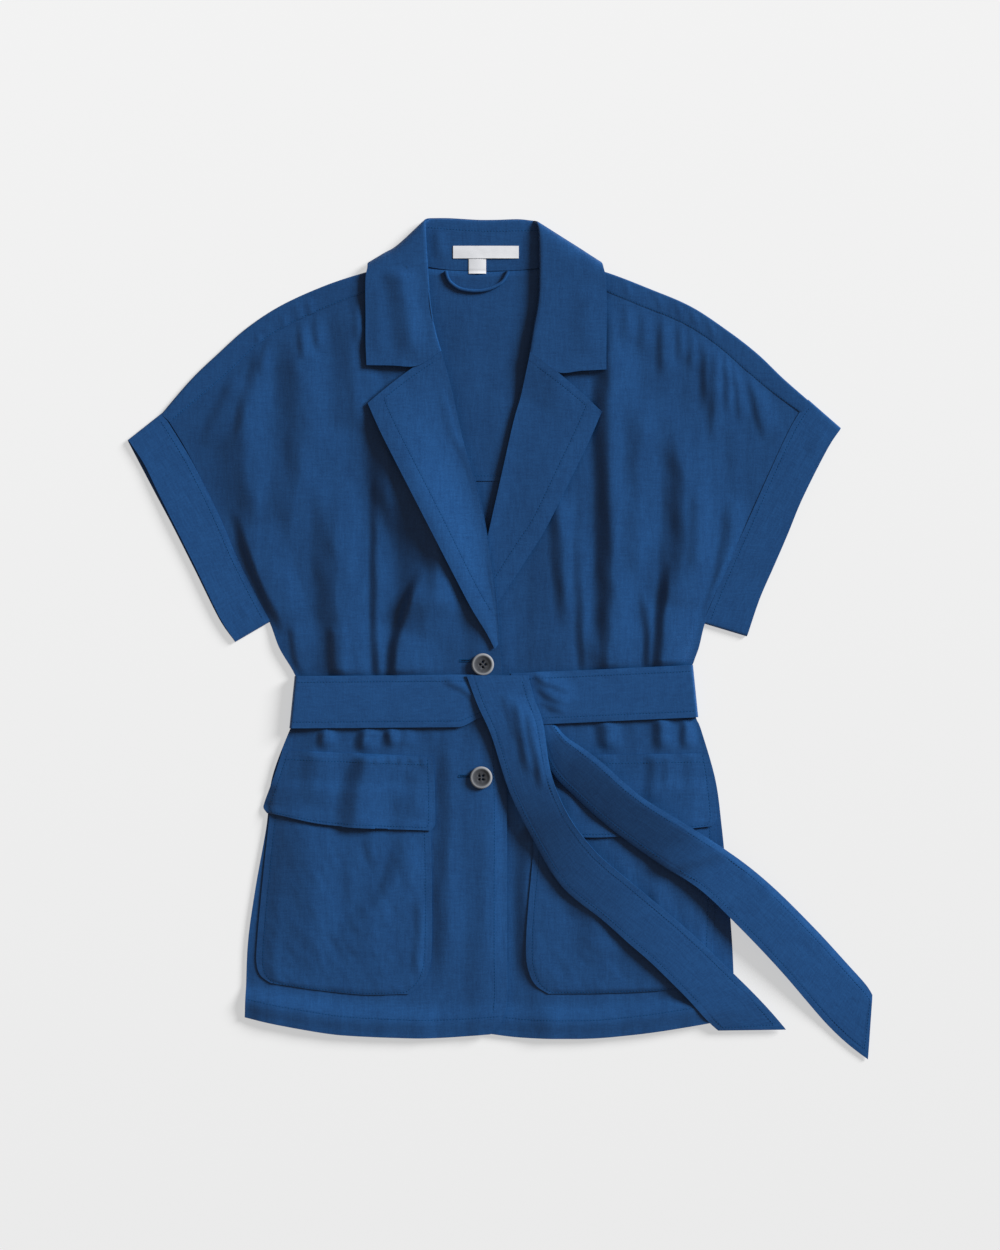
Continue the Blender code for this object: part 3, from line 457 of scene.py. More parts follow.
rightFront = {
    "node": "front_right",
    "lapsOver": False,
    "seed": 9.4,
    "sections": [
        (0.00, 231.5, 18.6, -18, 7), (0.04, 230.5, 45, -18, 30), (0.11, 228.5, 90, -18, 84),
        (0.18, 224.5, 140, -18, 138), (0.26, 219, 196, -18, 194), (0.32, 213, 240, -18, 240),
        (0.378, 199.5, 286.5, -18, 278), (0.395, 194.5, 299.6, -18, 290.6), (0.447, 190.5, 337.5, -18, 328.5),
        (0.466, 193.4, 350.5, -17.8, 342), (0.50, 197.8, 363, -16, 366), (0.54, 204, 387, -11, 404),
        (0.61, 216.8, 416, -2.5, 450), (0.70, 234.1, 455, 9, 500),
        (0.80, 253.3, 498, 20.5, 552), (0.91, 274.3, 544, 41, 630), (1.00, 293.7, 580, 80, 706),
    ],
    "seam": [(294.5, 580.3), (266, 601), (243, 620), (214, 645), (183, 665), (144, 681),
             (105, 697), (80.5, 706.3)],
    "hem": [(231.5, 18.6), (200, 12.4), (152, 4.8), (106, 0), (70, -0.8), (32, 0.2), (4, 3.5), (-18, 7)],
    "creases": [
        ([(109, 694), (107, 625), (106, 560), (108, 500), (109, 430)], 7, 18, 6.4),
        ([(113, 520), (110, 460), (108, 410), (104, 370), (103, 345), (102, 286)], 8.5, 20, 7.2),
        ([(134, 606), (135, 540), (134, 480), (130, 410)], 8, 18, 4.2),
        ([(160, 588), (170, 530), (173, 486), (170, 440), (166, 400)], 9, 28, 6.4),
        ([(168, 446), (164, 412), (160, 380), (159, 345), (159, 286)], 4.4, 24, 6.4),
        ([(143, 420), (147, 388), (149, 345), (149, 288)], 3.4, 8, 2.4),
        ([(62, 512), (63, 470), (67, 430), (71, 375)], 5.5, 11, 3.8),
        ([(84, 510), (84, 455), (86, 400), (87, 370), (89, 345), (90, 290)], 3.8, 9, 2.8),
        ([(226, 505), (219, 452), (214, 412)], 4.5, 13, 3),
        ([(236, 486), (224, 448), (211, 420), (203, 390), (200, 366)], 2.8, 11, 3.4),
        ([(193, 515), (192, 470), (190, 430)], 4, 13, 1.4),
        ([(160, 686), (161, 650), (162, 612)], 3.2, 9, 2.4),
        ([(178, 682), (178, 655), (178, 626)], 2.4, 7, 1.8),
        ([(189, 678), (189, 650), (188, 618)], 2.6, 7, 2),
        ([(200, 672), (201, 632), (203, 580)], 3.2, 9, 2.5),
        ([(212, 664), (211, 616), (208, 550)], 3.4, 12, 2.4),
        ([(220, 658), (222, 618), (223, 576)], 2.4, 7, 2),
        ([(228, 652), (231, 612), (235, 570)], 2.4, 8, 2),
        ([(237, 644), (246, 598), (258, 552)], 3.2, 11, 2.2),
        ([(144, 694), (143, 665), (142, 634)], 3, 9, 1.8),
        ([(128, 698), (128, 672), (127, 644)], 3, 9, 1.5),
        ([(106, 304), (106, 286), (107, 266)], 4.6, 10, 3.4),
        ([(157, 304), (157, 286), (158, 266)], 4.2, 9, 3.2),
        ([(182, 304), (182, 286), (182, 267)], 3.2, 8, 2.8),
        ([(38, 228), (33, 172), (31, 120), (34, 72), (40, 44)], 6, 12, 2.4),
    ],
}
frontForm = {
    "grid": (130, 214),
    "loft": 3.0, "underLoft": 1.0, "lapLoft": 1.2, "topLoft": 0.88, "sideLoft": (0.4, 0.5),
    "roll": 4.5, "underRoll": 0.35,
    "underBelt": 0.2,          # what the belt leaves of the creases
    "hemLift": 4.6, "hemDrop": 2.4, "hemMiddle": 0.55,
    "paintedShade": (1.0, 0.88),      # painted shade below and above the belt: the fronts are darker above it
    "placket": 11.5,
    "placketWay": [(232, 0.03), (218, 0.30), (196, 0.38)],  # width of the front at each level
}


def frontPlan(piece, across, level):
    table = np.array(piece["sections"])
    rows = np.interp(level, table[:, 0], np.linspace(0.0, 1.0, len(table)))
    x, y = crossLine(along(table[:, 1:], rows), across)
    ends = (("hem", 0, 1.0 - ease(0.0, 0.25, level)), ("seam", -1, ease(0.5, 1.0, level)))
    for key, end, pull in ends:  # the straight end sections bend to the hem and the shoulder seam
        line = along(piece[key], across)
        straightX, straightY = crossLine(table[end, 1:], across)
        x = x + (line[..., 0] - straightX) * pull
        y = y + (line[..., 1] - straightY) * pull
    return x, y


def fromHem(piece, across, y):
    return y - along(piece["hem"], across)[..., 1]


def frontLoft(piece, across, level, x, y):
    roll = frontForm["roll"] * ease(330.0, 430.0, y) * (1.0 - ease(540.0, 640.0, y)) * ease(0.72, 1.0, across)
    if piece["lapsOver"]:
        lap = frontForm["lapLoft"] * ease(-24.0, -6.0, x) * (1.0 - ease(380.0, 420.0, y))
        loft = frontForm["loft"] + lap + roll
    else:
        loft = between(frontForm["underLoft"], frontForm["loft"], ease(26.0, 60.0, x))
        loft = loft + roll * frontForm["underRoll"]
    loft = between(loft, frontForm["topLoft"], ease(0.86, 1.0, level))
    return between(between(*frontForm["sideLoft"], ease(0.53, 0.56, level)), loft, ease(0.0, 0.16, across))


def frontPlace(piece, across, level):
    x, y = frontPlan(piece, across, level)
    belt = offBelt(x, y)
    edge = ease(0.0, 0.06, across) * (1.0 - ease(0.94, 1.0, across))
    folds = creaseHeight(x, y, piece["creases"]) * between(frontForm["underBelt"], 1.0, ease(-3.0, 5.0, belt))
    folds = folds * edge * (1.0 - ease(0.965, 1.0, level))
    seed = piece["seed"]
    soft = 0.9 * ripple(x, y, 30.0, 110.0, seed) + 0.3 * ripple(x, y, 10.0, 60.0, seed + 5.0)
    soft = soft + 0.3 * ripple(x, y, 6.5, 70.0, seed + 2.0) * (1.0 - ease(2.0, 26.0, belt))
    soft = soft * edge * ease(-4.0, 6.0, belt) * (1.0 - ease(0.93, 1.0, level))
    up = fromHem(piece, across, y)
    hemRise = frontForm["hemLift"] * (1.0 - ease(14.0, 33.0, up))
    hem = hemRise - frontForm["hemDrop"] * (1.0 - ease(0.0, 16.0, up))
    hem = hem * between(frontForm["hemMiddle"], 1.0, ease(40.0, 66.0, np.abs(x)))
    loft = frontLoft(piece, across, level, x, y)
    return x, y, backMiddle(x, y) + garment["step"] + np.maximum(loft + folds + soft + hem, 0.1)


def makeFront(piece):
    cols, rows = frontForm["grid"]
    u, v = gridShares(cols, rows)
    name = piece["node"] + ".cloth"
    y = frontPlan(piece, u, v)[1]
    up = fromHem(piece, u, y)
    # painted shade: the fronts are darker above the belt and lighter below it
    paintedShade = between(*frontForm["paintedShade"], ease(240.0, 320.0, y))
    sheet(name, cols, rows, lambda across, level: frontPlace(piece, across, level), [piece["node"]],
          finish="hemCloth", edge=np.minimum(up, garment["inland"]), paintedShade=paintedShade)
    sew(name, levelLine(up, stitchLines["hemCloth"], u[0], v[:, 0])[3:-3])
    if piece["lapsOver"]:  # the placket's inner fold is sewn down beside the buttonholes
        sew(name, [(1.0 - frontForm["placket"] / wide, level) for wide, level in frontForm["placketWay"]])


makeFront(leftFront)
makeFront(rightFront)
print("fronts made")


# Yoke columns, from the left sleeve to the right: back seam x, shoulder fold x and y
backCloth = {
    "panelGrid": (70, 60),
    "sleeveTop": 470.0,
    "sleeveEnds": [(-267.3, 519.7), (263.2, 519.7)],
    "hem": [(-224, 19), (-136, 2.8), (-60, 0), (60, -0.6), (152, 4.8), (231.5, 18.6)],
    "hemRise": 4.0,
    # painted shade: the back panel is darkened
    "panelPaintedShade": 0.92,
    "yokeLeft": [(-267.5, -301.5, 579), (-240, -274, 611), (-210, -249, 635), (-180, -222, 659),
                 (-148, -190, 680), (-115, -150, 698), (-85, -110, 711), (-66, -84, 717.5)],
    "yokeRight": [(66, 82, 717.5), (85, 110, 711), (115, 150, 696), (148, 190, 679),
                  (180, 225, 656), (208, 252, 635), (236, 276, 612), (262, 300, 591)],
    "turn": 1.2,               # height of half the fold over the shoulder
    "bend": 1.6,               # its length on each layer
    "seamLift": 0.6,
    # painted shade: the yoke and its shoulder strips are darkened
    "yokePaintedShade": 0.92,
    "stripPaintedShade": 0.94,
    "creases": [
        ([(-30, 690), (-26, 620), (-18, 540)], 9, 26, 0.8),
        ([(8, 690), (6, 600), (2, 500)], 8, 24, 0.7),
    ],
    "puckers": [
        ([(-191, 672), (-190, 664), (-189, 656)], 1.7, 3.4, 0.6),
        ([(-178, 682), (-176, 673), (-174, 664)], 1.7, 3.2, 0.6),
        ([(-168, 686), (-165, 677), (-163, 668)], 1.7, 3.4, 0.7),
        ([(-214, 654), (-213, 648), (-212, 640)], 1.7, 3.2, 0.5),
        ([(-124, 702), (-123, 695), (-121, 686)], 1.8, 3.4, 0.5),
        ([(158, 690), (159, 684), (160, 676)], 1.7, 3.4, 0.6),
        ([(175, 686), (177, 678), (178, 668)], 1.7, 3.2, 0.6),
        ([(190, 678), (191, 671), (193, 660)], 1.7, 3.4, 0.6),
        ([(206, 668), (207, 661), (208, 650)], 1.7, 3.2, 0.6),
        ([(128, 704), (129, 697), (130, 686)], 1.8, 3.4, 0.5),
    ],
}


def makeBackPanel():
    cols, rows = backCloth["panelGrid"]
    sides = []
    for front, end in zip((leftFront, rightFront), backCloth["sleeveEnds"]):
        sides.append([row[1:3] for row in front["sections"] if row[2] < backCloth["sleeveTop"]] + [end])
    table = np.column_stack(sides)

    def place(across, up):
        x, y = crossLine(along(table, up), across)
        hemX, hemY = np.transpose(backCloth["hem"])
        hem = np.interp(x, hemX, hemY) + backCloth["hemRise"] - between(hemY[0], hemY[-1], across)
        y = y + hem * (1.0 - ease(0.0, 0.3, up))
        shown = ease(420.0, 450.0, y) * ease(0.0, 8.0, 520.0 - y)
        under = 0.1 * ease(506.0, 516.0, y)
        return x, y, backMiddle(x, y) + creaseHeight(x, y, backCloth["creases"]) * shown - under

    sheet("back_panel.cloth", cols, rows, place, ["back_panel"], paintedShade=backCloth["panelPaintedShade"])


def nudge(start, goal, step):
    way = goal - start
    return start + step * way / np.linalg.norm(way, axis=1)[:, None]


def yokeStrip(part, near, turnRows, stripRows):  # round the shoulder fold and down to the seam in front
    turn, fold, seam = backCloth["turn"], part[:, 1:3], part[:, 3:5]
    start = nudge(fold, seam, backCloth["bend"])
    rows = []
    for row in range(turnRows + stripRows + 1):
        past = (row - turnRows) / stripRows
        if past <= 0.0:
            angle = math.pi * row / turnRows
            spot = between(between(near, start, (1.0 - math.cos(angle)) / 2), fold, math.sin(angle))
            rise = turn * (1.0 - math.cos(angle))
        else:
            spot = between(start, seam, 1.1 * shares(stripRows, first=False)[row - turnRows])
            rise = 2.0 * turn
        puff = 0.15 * math.sin(math.pi * max(past, 0.0))
        puff = puff + ease(0.0, 0.3, past) * creaseHeight(spot[:, 0], spot[:, 1], backCloth["puckers"])
        rows.append(np.column_stack((spot, backMiddle(spot[:, 0], spot[:, 1]) + rise + puff)))
    return np.array(rows)


def makeYoke():
    sideCols, neckCols, backRows, turnRows, stripRows = 110, 24, 34, 8, 10
    shape = bmesh.new()
    sides = {
        "left": along(np.column_stack((backCloth["yokeLeft"], leftFront["seam"])),
                      shares(sideCols, last=False)),
        "right": along(np.column_stack((backCloth["yokeRight"], rightFront["seam"][::-1])),
                       shares(sideCols, first=False)),
    }
    near = {}
    for side, part in sides.items():
        back = np.column_stack((part[:, 0], np.full(sideCols + 1, neck["yokeSeam"])))
        near[side] = nudge(part[:, 1:3], back, backCloth["bend"])
    middle = along(neck["seam"], np.linspace(0.0, 1.0, neckCols + 1))[1:-1]
    tops = np.concatenate((near["left"], middle, near["right"]))
    backs = np.concatenate((sides["left"][:, 0], middle[:, 0], sides["right"][:, 0]))
    share = shares(backRows, last=False)[:, None]
    x = between(backs[None, :], tops[None, :, 0], share)
    y = between(neck["yokeSeam"], tops[None, :, 1], share)
    z = backMiddle(x, y) + creaseHeight(x, y, backCloth["creases"]) * inner(0.1, share)
    z = z + backCloth["seamLift"] * (1.0 - ease(521.0, 530.0, y))
    spots = np.stack((x, y, z), axis=-1)
    addGrid(shape, spots, garment["inland"], backCloth["yokePaintedShade"])
    keepSurface("back_yoke.cloth", spots, np.linspace(0.0, 1.0, len(tops)), share[:, 0], garment["wall"])
    sew("back_yoke.cloth", [(0.34, 0.025), (0.66, 0.025)])
    for side, part in sides.items():
        strip = yokeStrip(part, near[side], turnRows, stripRows)
        name = "yoke_strip_" + side
        addGrid(shape, strip, garment["inland"], backCloth["stripPaintedShade"])
        colShares, rowShares = [np.linspace(0.0, 1.0, count) for count in strip.shape[1::-1]]
        keepSurface(name, strip, colShares, rowShares, garment["wall"])
        sew(name, [(0.02, 0.93), (0.98, 0.93)])
    finishSheet("back_yoke.cloth", shape, ["back_yoke"], "blueCloth", garment["wall"], True)


makeBackPanel()
makeYoke()
print("back and yoke made")


# Lapel columns: roll edge x and y, outer edge x and y, and how far the outer edge stands off
leftLapel = {
    "node": "lapel_left",
    "under": "front_left.cloth",
    "gorge": 9.2,
    # painted shade: the left lapel, which faces the light, is darkened
    "paintedShade": 0.975,
    "rows": [
        (-42, 638.5, -109.7, 588.7, 4), (-32.5, 604.5, -96.7, 559.9, 6), (-21.4, 555, -73.8, 515, 8),
        (-8.5, 508, -49.6, 468, 6.5), (1, 464, -28, 426, 4.5), (6.5, 425, -13.2, 398, 3),
        (10.2, 390, 0.3, 376, 1.8), (12, 366, 8, 361, 0.9),
    ],
}
rightLapel = {
    "node": "lapel_right",
    "under": "front_right.cloth",
    "gorge": 10.4,
    # painted light: the right lapel is lightened
    "paintedShade": 1.02,
    "rows": [
        (41, 636.5, 107.4, 581, 2.6), (32.6, 597, 97.6, 558, 2.6), (25.5, 572, 84.6, 531, 2.6),
        (14, 521, 56, 473.5, 2.4), (3, 472, 37.5, 444, 1.8), (-4, 440, 18.6, 415, 1.1),
        (-10, 410, 5, 394, 0.7), (-14, 380, -8, 371, 0.4),
    ],
}
lapelForm = {
    "grid": (96, 40), "long": 330.0, "slant": 0.8, "topBow": 2.6, "clear": 0.9,
    "missing": 5.0,            # height where no front lies under the roll
}


def makeLapel(piece):
    cols, rows = lapelForm["grid"]

    def place(down, across):
        row = along(piece["rows"], down)
        x, y = crossLine(row, across)
        y = y + lapelForm["topBow"] * np.sin(math.pi * across) * (1.0 - ease(0.0, 0.12, down))
        base = restingHeight(x, y, [piece["under"]])
        base = np.where(base < 0.0, lapelForm["missing"], base)
        rolled = 0.5 + row[..., 4] * ease(0.05, 0.95, across)
        soft = 0.35 * ripple(x, y, 40.0, 60.0, 2.2) * ease(0.0, 0.3, across)
        z = np.maximum(soften(base, 300) + rolled + soft, soften(base, 8) + 0.6) + lapelForm["clear"]
        gorge = (1.0 - ease(0.0, 0.16, down)) * (1.0 - ease(0.35, 0.75, across))
        return x, y, between(z, piece["gorge"], gorge)

    u, v = gridShares(cols, rows)
    row = along(piece["rows"], u)
    wide = np.hypot(row[..., 2] - row[..., 0], row[..., 3] - row[..., 1]) * lapelForm["slant"]
    edge = np.minimum((1.0 - v) * wide, u * lapelForm["long"])
    name = piece["node"] + ".cloth"
    sheet(name, cols, rows, place, [piece["node"]], finish="lapelCloth", edge=edge, paintedShade=piece["paintedShade"])
    inset = stitchLines["lapelCloth"]
    top = inset / lapelForm["long"]
    line = [(share, 1.0 - inset / wide[0, col]) for col, share in enumerate(u[0]) if top < share < 0.82]
    sew(name, [(top, 0.12)] + line)


makeLapel(leftLapel)
makeLapel(rightLapel)
print("lapels made")


# Collar columns: turn of the falling layer, middle height, seam, roll, fall and edge places
collar = {
    "left": [
        (90, 9.2, -46, 637, -42.5, 636.5, -64, 623.4, -110.7, 624),
        (90, 9.2, -62, 655, -48, 655, -72, 645, -111.6, 645),
        (90, 9.2, -72, 677, -52.5, 680, -78, 672, -111.6, 668),
        (90, 9.2, -78, 698, -55, 712, -80, 700, -111.8, 690),
        (90, 9.2, -80, 711, -57, 742, -83, 720, -111.5, 706),
        (45, 8.2, -80, 717.5, -57.4, 754, -82, 730, -109.5, 714),
        (0, 6, -80, 722, -56.4, 758, -82, 734, -109, 718),
        (-45, 3.6, -78, 723.5, -54.2, 759.2, -79, 736, -106, 719),
        (-90, 2.1, -74, 720, -50.4, 759.6, -72, 732, -101, 711),
        (-90, 2.1, -38, 713.6, -34, 759.4, -42, 728, -56, 699),
        (-90, 2.1, -10, 712.3, -8, 758, -10, 728, -12, 697),
    ],
    "right": [
        (-90, 2.1, 10, 712.3, 10, 758, 10, 728, 12, 697),
        (-90, 2.1, 38, 713.6, 30, 758.5, 40, 728, 54, 699),
        (-90, 2.1, 74, 720, 43.5, 757.5, 70, 732, 99, 711),
        (-45, 3.6, 78, 723.5, 46, 757, 79, 736, 105, 719),
        (0, 6, 80, 722, 48, 756, 82, 734, 107, 718),
        (45, 8.2, 80, 717.5, 49.5, 752, 82, 730, 108.5, 714),
        (90, 9.2, 80, 711, 51, 742, 82, 720, 111, 705),
        (90, 9.2, 78, 698, 51.2, 712, 80, 700, 111.8, 688),
        (90, 9.2, 72, 677, 50, 684, 78, 672, 111.8, 664),
        (90, 9.2, 60, 655, 45.3, 657, 72, 643, 111.6, 641),
        (90, 9.2, 46, 635.5, 41.5, 634, 66, 617.6, 111.6, 620),
    ],
    "rollDepth": 1.0,
    "foldBack": 1.0,
    "knots": [0, 0.16, 0.30, 0.36, 0.42, 0.62, 0.81, 1],  # shares across of a profile's eight places
    # painted shade: the collar is darkened as a whole
    "paintedShade": 0.97,
    "pressed": (0.365, 0.022, 0.26),  # painted shade, a darker line that dims the roll's highlight: place, width, depth
    "stitches": [(0.345, 0.245), (0.655, 0.235)],
    "creases": [
        ([(-92, 730), (-84, 682), (-76, 626)], 9, 18, 3),
        ([(-106, 700), (-104, 660), (-103, 632)], 4, 10, 0.7),
        ([(88, 700), (84, 664), (86, 630)], 8, 18, 1),
        ([(-50, 752), (-47, 738), (-45, 722)], 2.6, 6, 1.2),
    ],
}


def collarProfile(wrap, side):
    turn = math.radians(wrap[0])
    out = np.array((side * 0.62, 0.78, 0.0))
    normal = out * math.cos(turn) + np.array((0.0, 0.0, math.sin(turn)))
    seam, roll, fall, edge = [np.array((wrap[i], wrap[i + 1], wrap[1])) for i in (2, 4, 6, 8)]
    stand = -normal * collar["rollDepth"]
    low = seam + stand
    if wrap[0] == -90:
        low[2] = min(low[2], float(backMiddle(seam[0], seam[1])))
    inward, outward = [(place - roll) / np.linalg.norm(place - roll) * collar["foldBack"]
                       for place in (seam, fall)]
    return [low, between(seam, roll, 0.5) + stand, roll + inward + stand, roll, roll + outward - stand,
            fall - stand, between(fall, edge, 0.5) - stand, edge - stand]


def makeCollar():
    cols, rows = 190, 46
    wraps = [collarProfile(wrap, side)
             for key, side in (("left", -1.0), ("right", 1.0)) for wrap in collar[key]]

    def place(alongCollar, across):
        cross = along(np.array(wraps), alongCollar[0])
        rowShare = np.interp(across[:, 0], collar["knots"], np.linspace(0.0, 1.0, len(collar["knots"])))
        spots = along(np.transpose(cross, (1, 0, 2)), rowShare)
        x, y, z = spots[..., 0], spots[..., 1], spots[..., 2]
        onFront = ease(0.45, 0.6, across) * (1.0 - ease(704.0, 716.0, y))
        onFront = onFront * ease(0.24, 0.29, np.abs(alongCollar - 0.5))
        shown = np.where(across > 0.4, onFront, ease(0.02, 0.1, across))
        return x, y, z + creaseHeight(x, y, collar["creases"]) * shown

    # painted shade along the roll dims its highlight
    line, wide, depth = collar["pressed"]
    pressed = np.exp(-((gridShares(cols, rows)[1] - line) / wide) ** 2)
    sheet("collar.cloth", cols, rows, place, ["collar"], paintedShade=collar["paintedShade"] - depth * pressed)
    sew("collar.cloth", collar["stitches"])


makeCollar()
print("collar made")


# Cuff columns: seam end x and y, open end x and y, and how far the lower layer peeps out
leftCuff = {
    "node": "cuff_left",
    "rows": [
        (-302, 578.5, -332, 554.5, 1), (-285.5, 552.4, -318, 533.5, 3.6), (-270.6, 526.4, -305.5, 508, 2.8),
        (-249.2, 482.7, -289, 475, 2), (-232.5, 444, -268, 433, 1.8), (-214.5, 408.5, -247, 389.5, 1.2),
        (-202.5, 386.5, -233.4, 368.5, 0.4),
    ],
    "seamDrop": 0.25,
    "creases": [([(-232, 398), (-226, 394), (-219, 388)], 1.4, 4, 0.5)],
}
rightCuff = {
    "node": "cuff_right",
    "rows": [
        (300.5, 590.5, 329.2, 565, 0), (284.6, 566, 317, 546.5, 0), (261.3, 516, 294, 501, 0),
        (243.5, 476, 280, 467, 0), (225.5, 436, 267, 437, 0), (212, 405, 254, 407, 0),
        (204, 385.5, 242.7, 373.2, 0),
    ],
    "seamDrop": 0.1,
    "creases": [([(296, 548), (306, 556), (312, 566)], 2.5, 7, 0.7)],
}
cuffForm = {"turn": 1.25, "bulge": 0.008, "swell": 1.3, "underSleeve": -0.05,
            "grain": (0.038, 0.22), "stitches": 0.13}


def makeCuff(piece):
    layer, turnSteps, rows = 72, 8, 22
    around = 2 * layer + 2 * turnSteps
    turn = cuffForm["turn"]
    ahead = np.arange(layer + 1) / layer
    angle = math.pi * np.arange(1, turnSteps) / turnSteps
    bulge = cuffForm["bulge"] * np.sin(angle)
    # along the upper layer, back along the lower
    share = np.concatenate((ahead, 1.0 + bulge, 1.0 - ahead, -bulge, [0.0]))
    rise = turn * np.concatenate((np.full(layer + 1, 2.0), 1.0 + np.cos(angle), np.zeros(layer + 1),
                                  1.0 - np.cos(angle), [2.0]))

    def place(aroundShare, outward):
        ring = np.broadcast_to(share, aroundShare.shape)
        rises = np.broadcast_to(rise, aroundShare.shape)
        inside = np.clip(ring, 0.0, 1.0)
        table = np.array(piece["rows"])
        row = along(table, between(0.012, 0.988, inside))
        upper = rises / (2.0 * turn)
        wayX, wayY = row[..., 2] - row[..., 0], row[..., 3] - row[..., 1]
        peep = row[..., 4] * (1.0 - upper) * ease(0.6, 1.0, outward) / np.hypot(wayX, wayY)
        x, y = crossLine(row, between(cuffForm["underSleeve"], 1.0, outward))
        down = table[-1, :2] - table[0, :2]
        x = x + down[0] * (ring - inside) + wayX * peep
        y = y + down[1] * (ring - inside) + wayY * peep
        soft = 0.3 * ripple(x, y, 30.0, 30.0, 6.6) + creaseHeight(x, y, piece["creases"])
        arch = np.sin(math.pi * inside) ** 0.5
        swell = cuffForm["swell"] * outward + soft * ease(0.0, 0.2, outward)
        z = backLift["cloth"] + rises + upper * arch * swell
        return x, y, z - piece["seamDrop"] * upper * (1.0 - ease(0.0, 0.12, outward))

    v = gridShares(around, rows)[1]
    name = piece["node"] + ".cloth"
    wide, long = cuffForm["grain"]
    grain = np.stack((v * wide, np.broadcast_to(share, v.shape) * long), axis=-1)
    sheet(name, around, rows, place, [piece["node"]], grain=grain, closed=True)
    sew(name, [(at, cuffForm["stitches"]) for at in (0.01, layer / around - 0.01)])


makeCuff(leftCuff)
makeCuff(rightCuff)
print("cuffs made")


# Pocket and flap columns: outer side x and y, inner side x and y, from the top down
leftPocket = {
    "node": "pocket_left",
    "under": "front_left.cloth",
    "rows": [
        (-197, 236, -54, 232), (-200, 215, -52, 208), (-205, 170, -50.5, 165),
        (-210, 120, -50, 115), (-213, 84, -50.5, 80), (-213, 68, -53, 62),
        (-209, 57.5, -59.5, 50), (-199, 50.5, -72, 40.5),
    ],
    "sag": [(0, 0), (0.33, -2.6), (0.66, -3.6), (1, 0)],
    "creases": [
        ([(-74, 190), (-88, 152), (-112, 120), (-148, 92)], 6, 18, 2.8),
        ([(-112, 200), (-110, 182), (-108, 160)], 3.5, 9, 1),
        ([(-132, 172), (-129, 145), (-130, 118)], 4, 10, 0.6),
        ([(-175, 205), (-176, 140), (-178, 62)], 12, 26, 2.4),
        ([(-64, 136), (-63, 95), (-68, 52)], 4, 8, 2.4),
        ([(-86, 180), (-94, 150), (-98, 132)], 3, 7, 0.8),
        ([(-150, 90), (-120, 78), (-90, 74)], 4, 10, 0.4),
    ],
}
rightPocket = {
    "node": "pocket_right",
    "under": "front_right.cloth",
    "rows": [
        (210.5, 236, 46, 232), (212.5, 215, 45, 208), (214, 170, 43, 165),
        (212, 120, 38.5, 115), (210.5, 84, 37, 80), (209, 66, 39.5, 62),
        (204, 54, 46, 49), (193, 47, 58, 41),
    ],
    "sag": [(0, 0), (0.33, -2), (0.66, -1.6), (1, 0)],
    "creases": [
        ([(80, 150), (88, 112), (94, 66)], 9, 24, 1.6),
        ([(150, 150), (156, 112), (160, 84)], 5, 12, 1.2),
        ([(196, 140), (198, 108), (196, 72)], 4, 9, 1.3),
        ([(60, 120), (90, 116), (120, 112)], 4, 10, 0.7),
    ],
}
leftFlap = {
    "node": "flap_left",
    "under": "front_left.cloth",
    "rows": [
        (-189, 267, -49, 261), (-195, 248, -48, 243), (-201.5, 230, -47.2, 222),
        (-206, 217.5, -47, 204), (-206.5, 213, -47.4, 198), (-203, 208.5, -51, 192.5),
    ],
    "sag": [(0, 0), (0.33, -5), (0.66, -3.4), (1, 0)],
    "creases": [
        ([(-106, 302), (-121, 250), (-128, 225), (-135, 168)], 8, 22, 5.2),
        ([(-104, 270), (-103, 262), (-102, 252)], 1.6, 4, 0.8),
        ([(-92, 270), (-91, 262), (-90, 254)], 1.6, 4, 0.7),
        ([(-82, 269), (-81, 262), (-81, 253)], 1.6, 4, 0.8),
        ([(-72, 268), (-71, 261), (-71, 254)], 1.6, 4, 0.6),
        ([(-62, 268), (-61, 260), (-60, 250)], 1.8, 4, 0.7),
        ([(-158, 290), (-163, 256), (-168, 216)], 7, 14, 2),
        ([(-70, 250), (-69, 225), (-68, 200)], 5, 12, 0.8),
    ],
}
rightFlap = {
    "node": "flap_right",
    "under": "front_right.cloth",
    "rows": [
        (206.5, 264, 43, 262), (210, 246, 43, 243), (212.5, 226, 43.5, 222),
        (214, 209, 44.3, 202), (213.5, 202, 45.5, 194), (209, 196, 50, 188),
    ],
    "sag": [(0, 0), (0.33, -3.4), (0.66, -4.4), (1, 0)],
    "creases": [
        ([(150, 272), (152, 248), (150, 216)], 4.5, 10, 1.6),
        ([(164, 272), (165, 252), (164, 226)], 3.4, 9, 1.2),
        ([(106, 274), (104, 256), (100, 232)], 4.5, 10, 1.6),
        ([(184, 272), (186, 250), (190, 220)], 5, 12, 1),
        ([(70, 250), (72, 225), (74, 200)], 5, 12, 0.9),
    ],
}
# painted shade: pockets and flaps are darkened
patchForm = {"paintedShade": 0.95, "pocketGrid": (86, 84), "flapGrid": (52, 90),
             "puff": 1.1, "kick": 1.4, "flapLine": 0.1}


def patchPlan(piece, down, across):
    x, y = crossLine(along(piece["rows"], down), across)
    return x, y + along(piece["sag"], across)[..., 1] * ease(0.55, 1.0, down)


def sewRound(name, start, low, side):  # down one side, along the end and up the other side
    sew(name, [(start, side), (low, side), (low, 1.0 - side), (start, 1.0 - side)])


def sewPatch(piece, grid, place):
    wide = abs(piece["rows"][2][0] - piece["rows"][2][2])
    tall = piece["rows"][0][1] - piece["rows"][-1][1]
    u, v = gridShares(*grid)
    edge = np.minimum(np.minimum(v, 1.0 - v) * wide, (1.0 - u) * tall)
    name = piece["node"] + ".cloth"
    sheet(name, *grid, place, [piece["node"]], edge=edge, paintedShade=patchForm["paintedShade"])
    sewRound(name, 0.02, 1.0 - stitchLines["blueCloth"] / tall, stitchLines["blueCloth"] / wide)


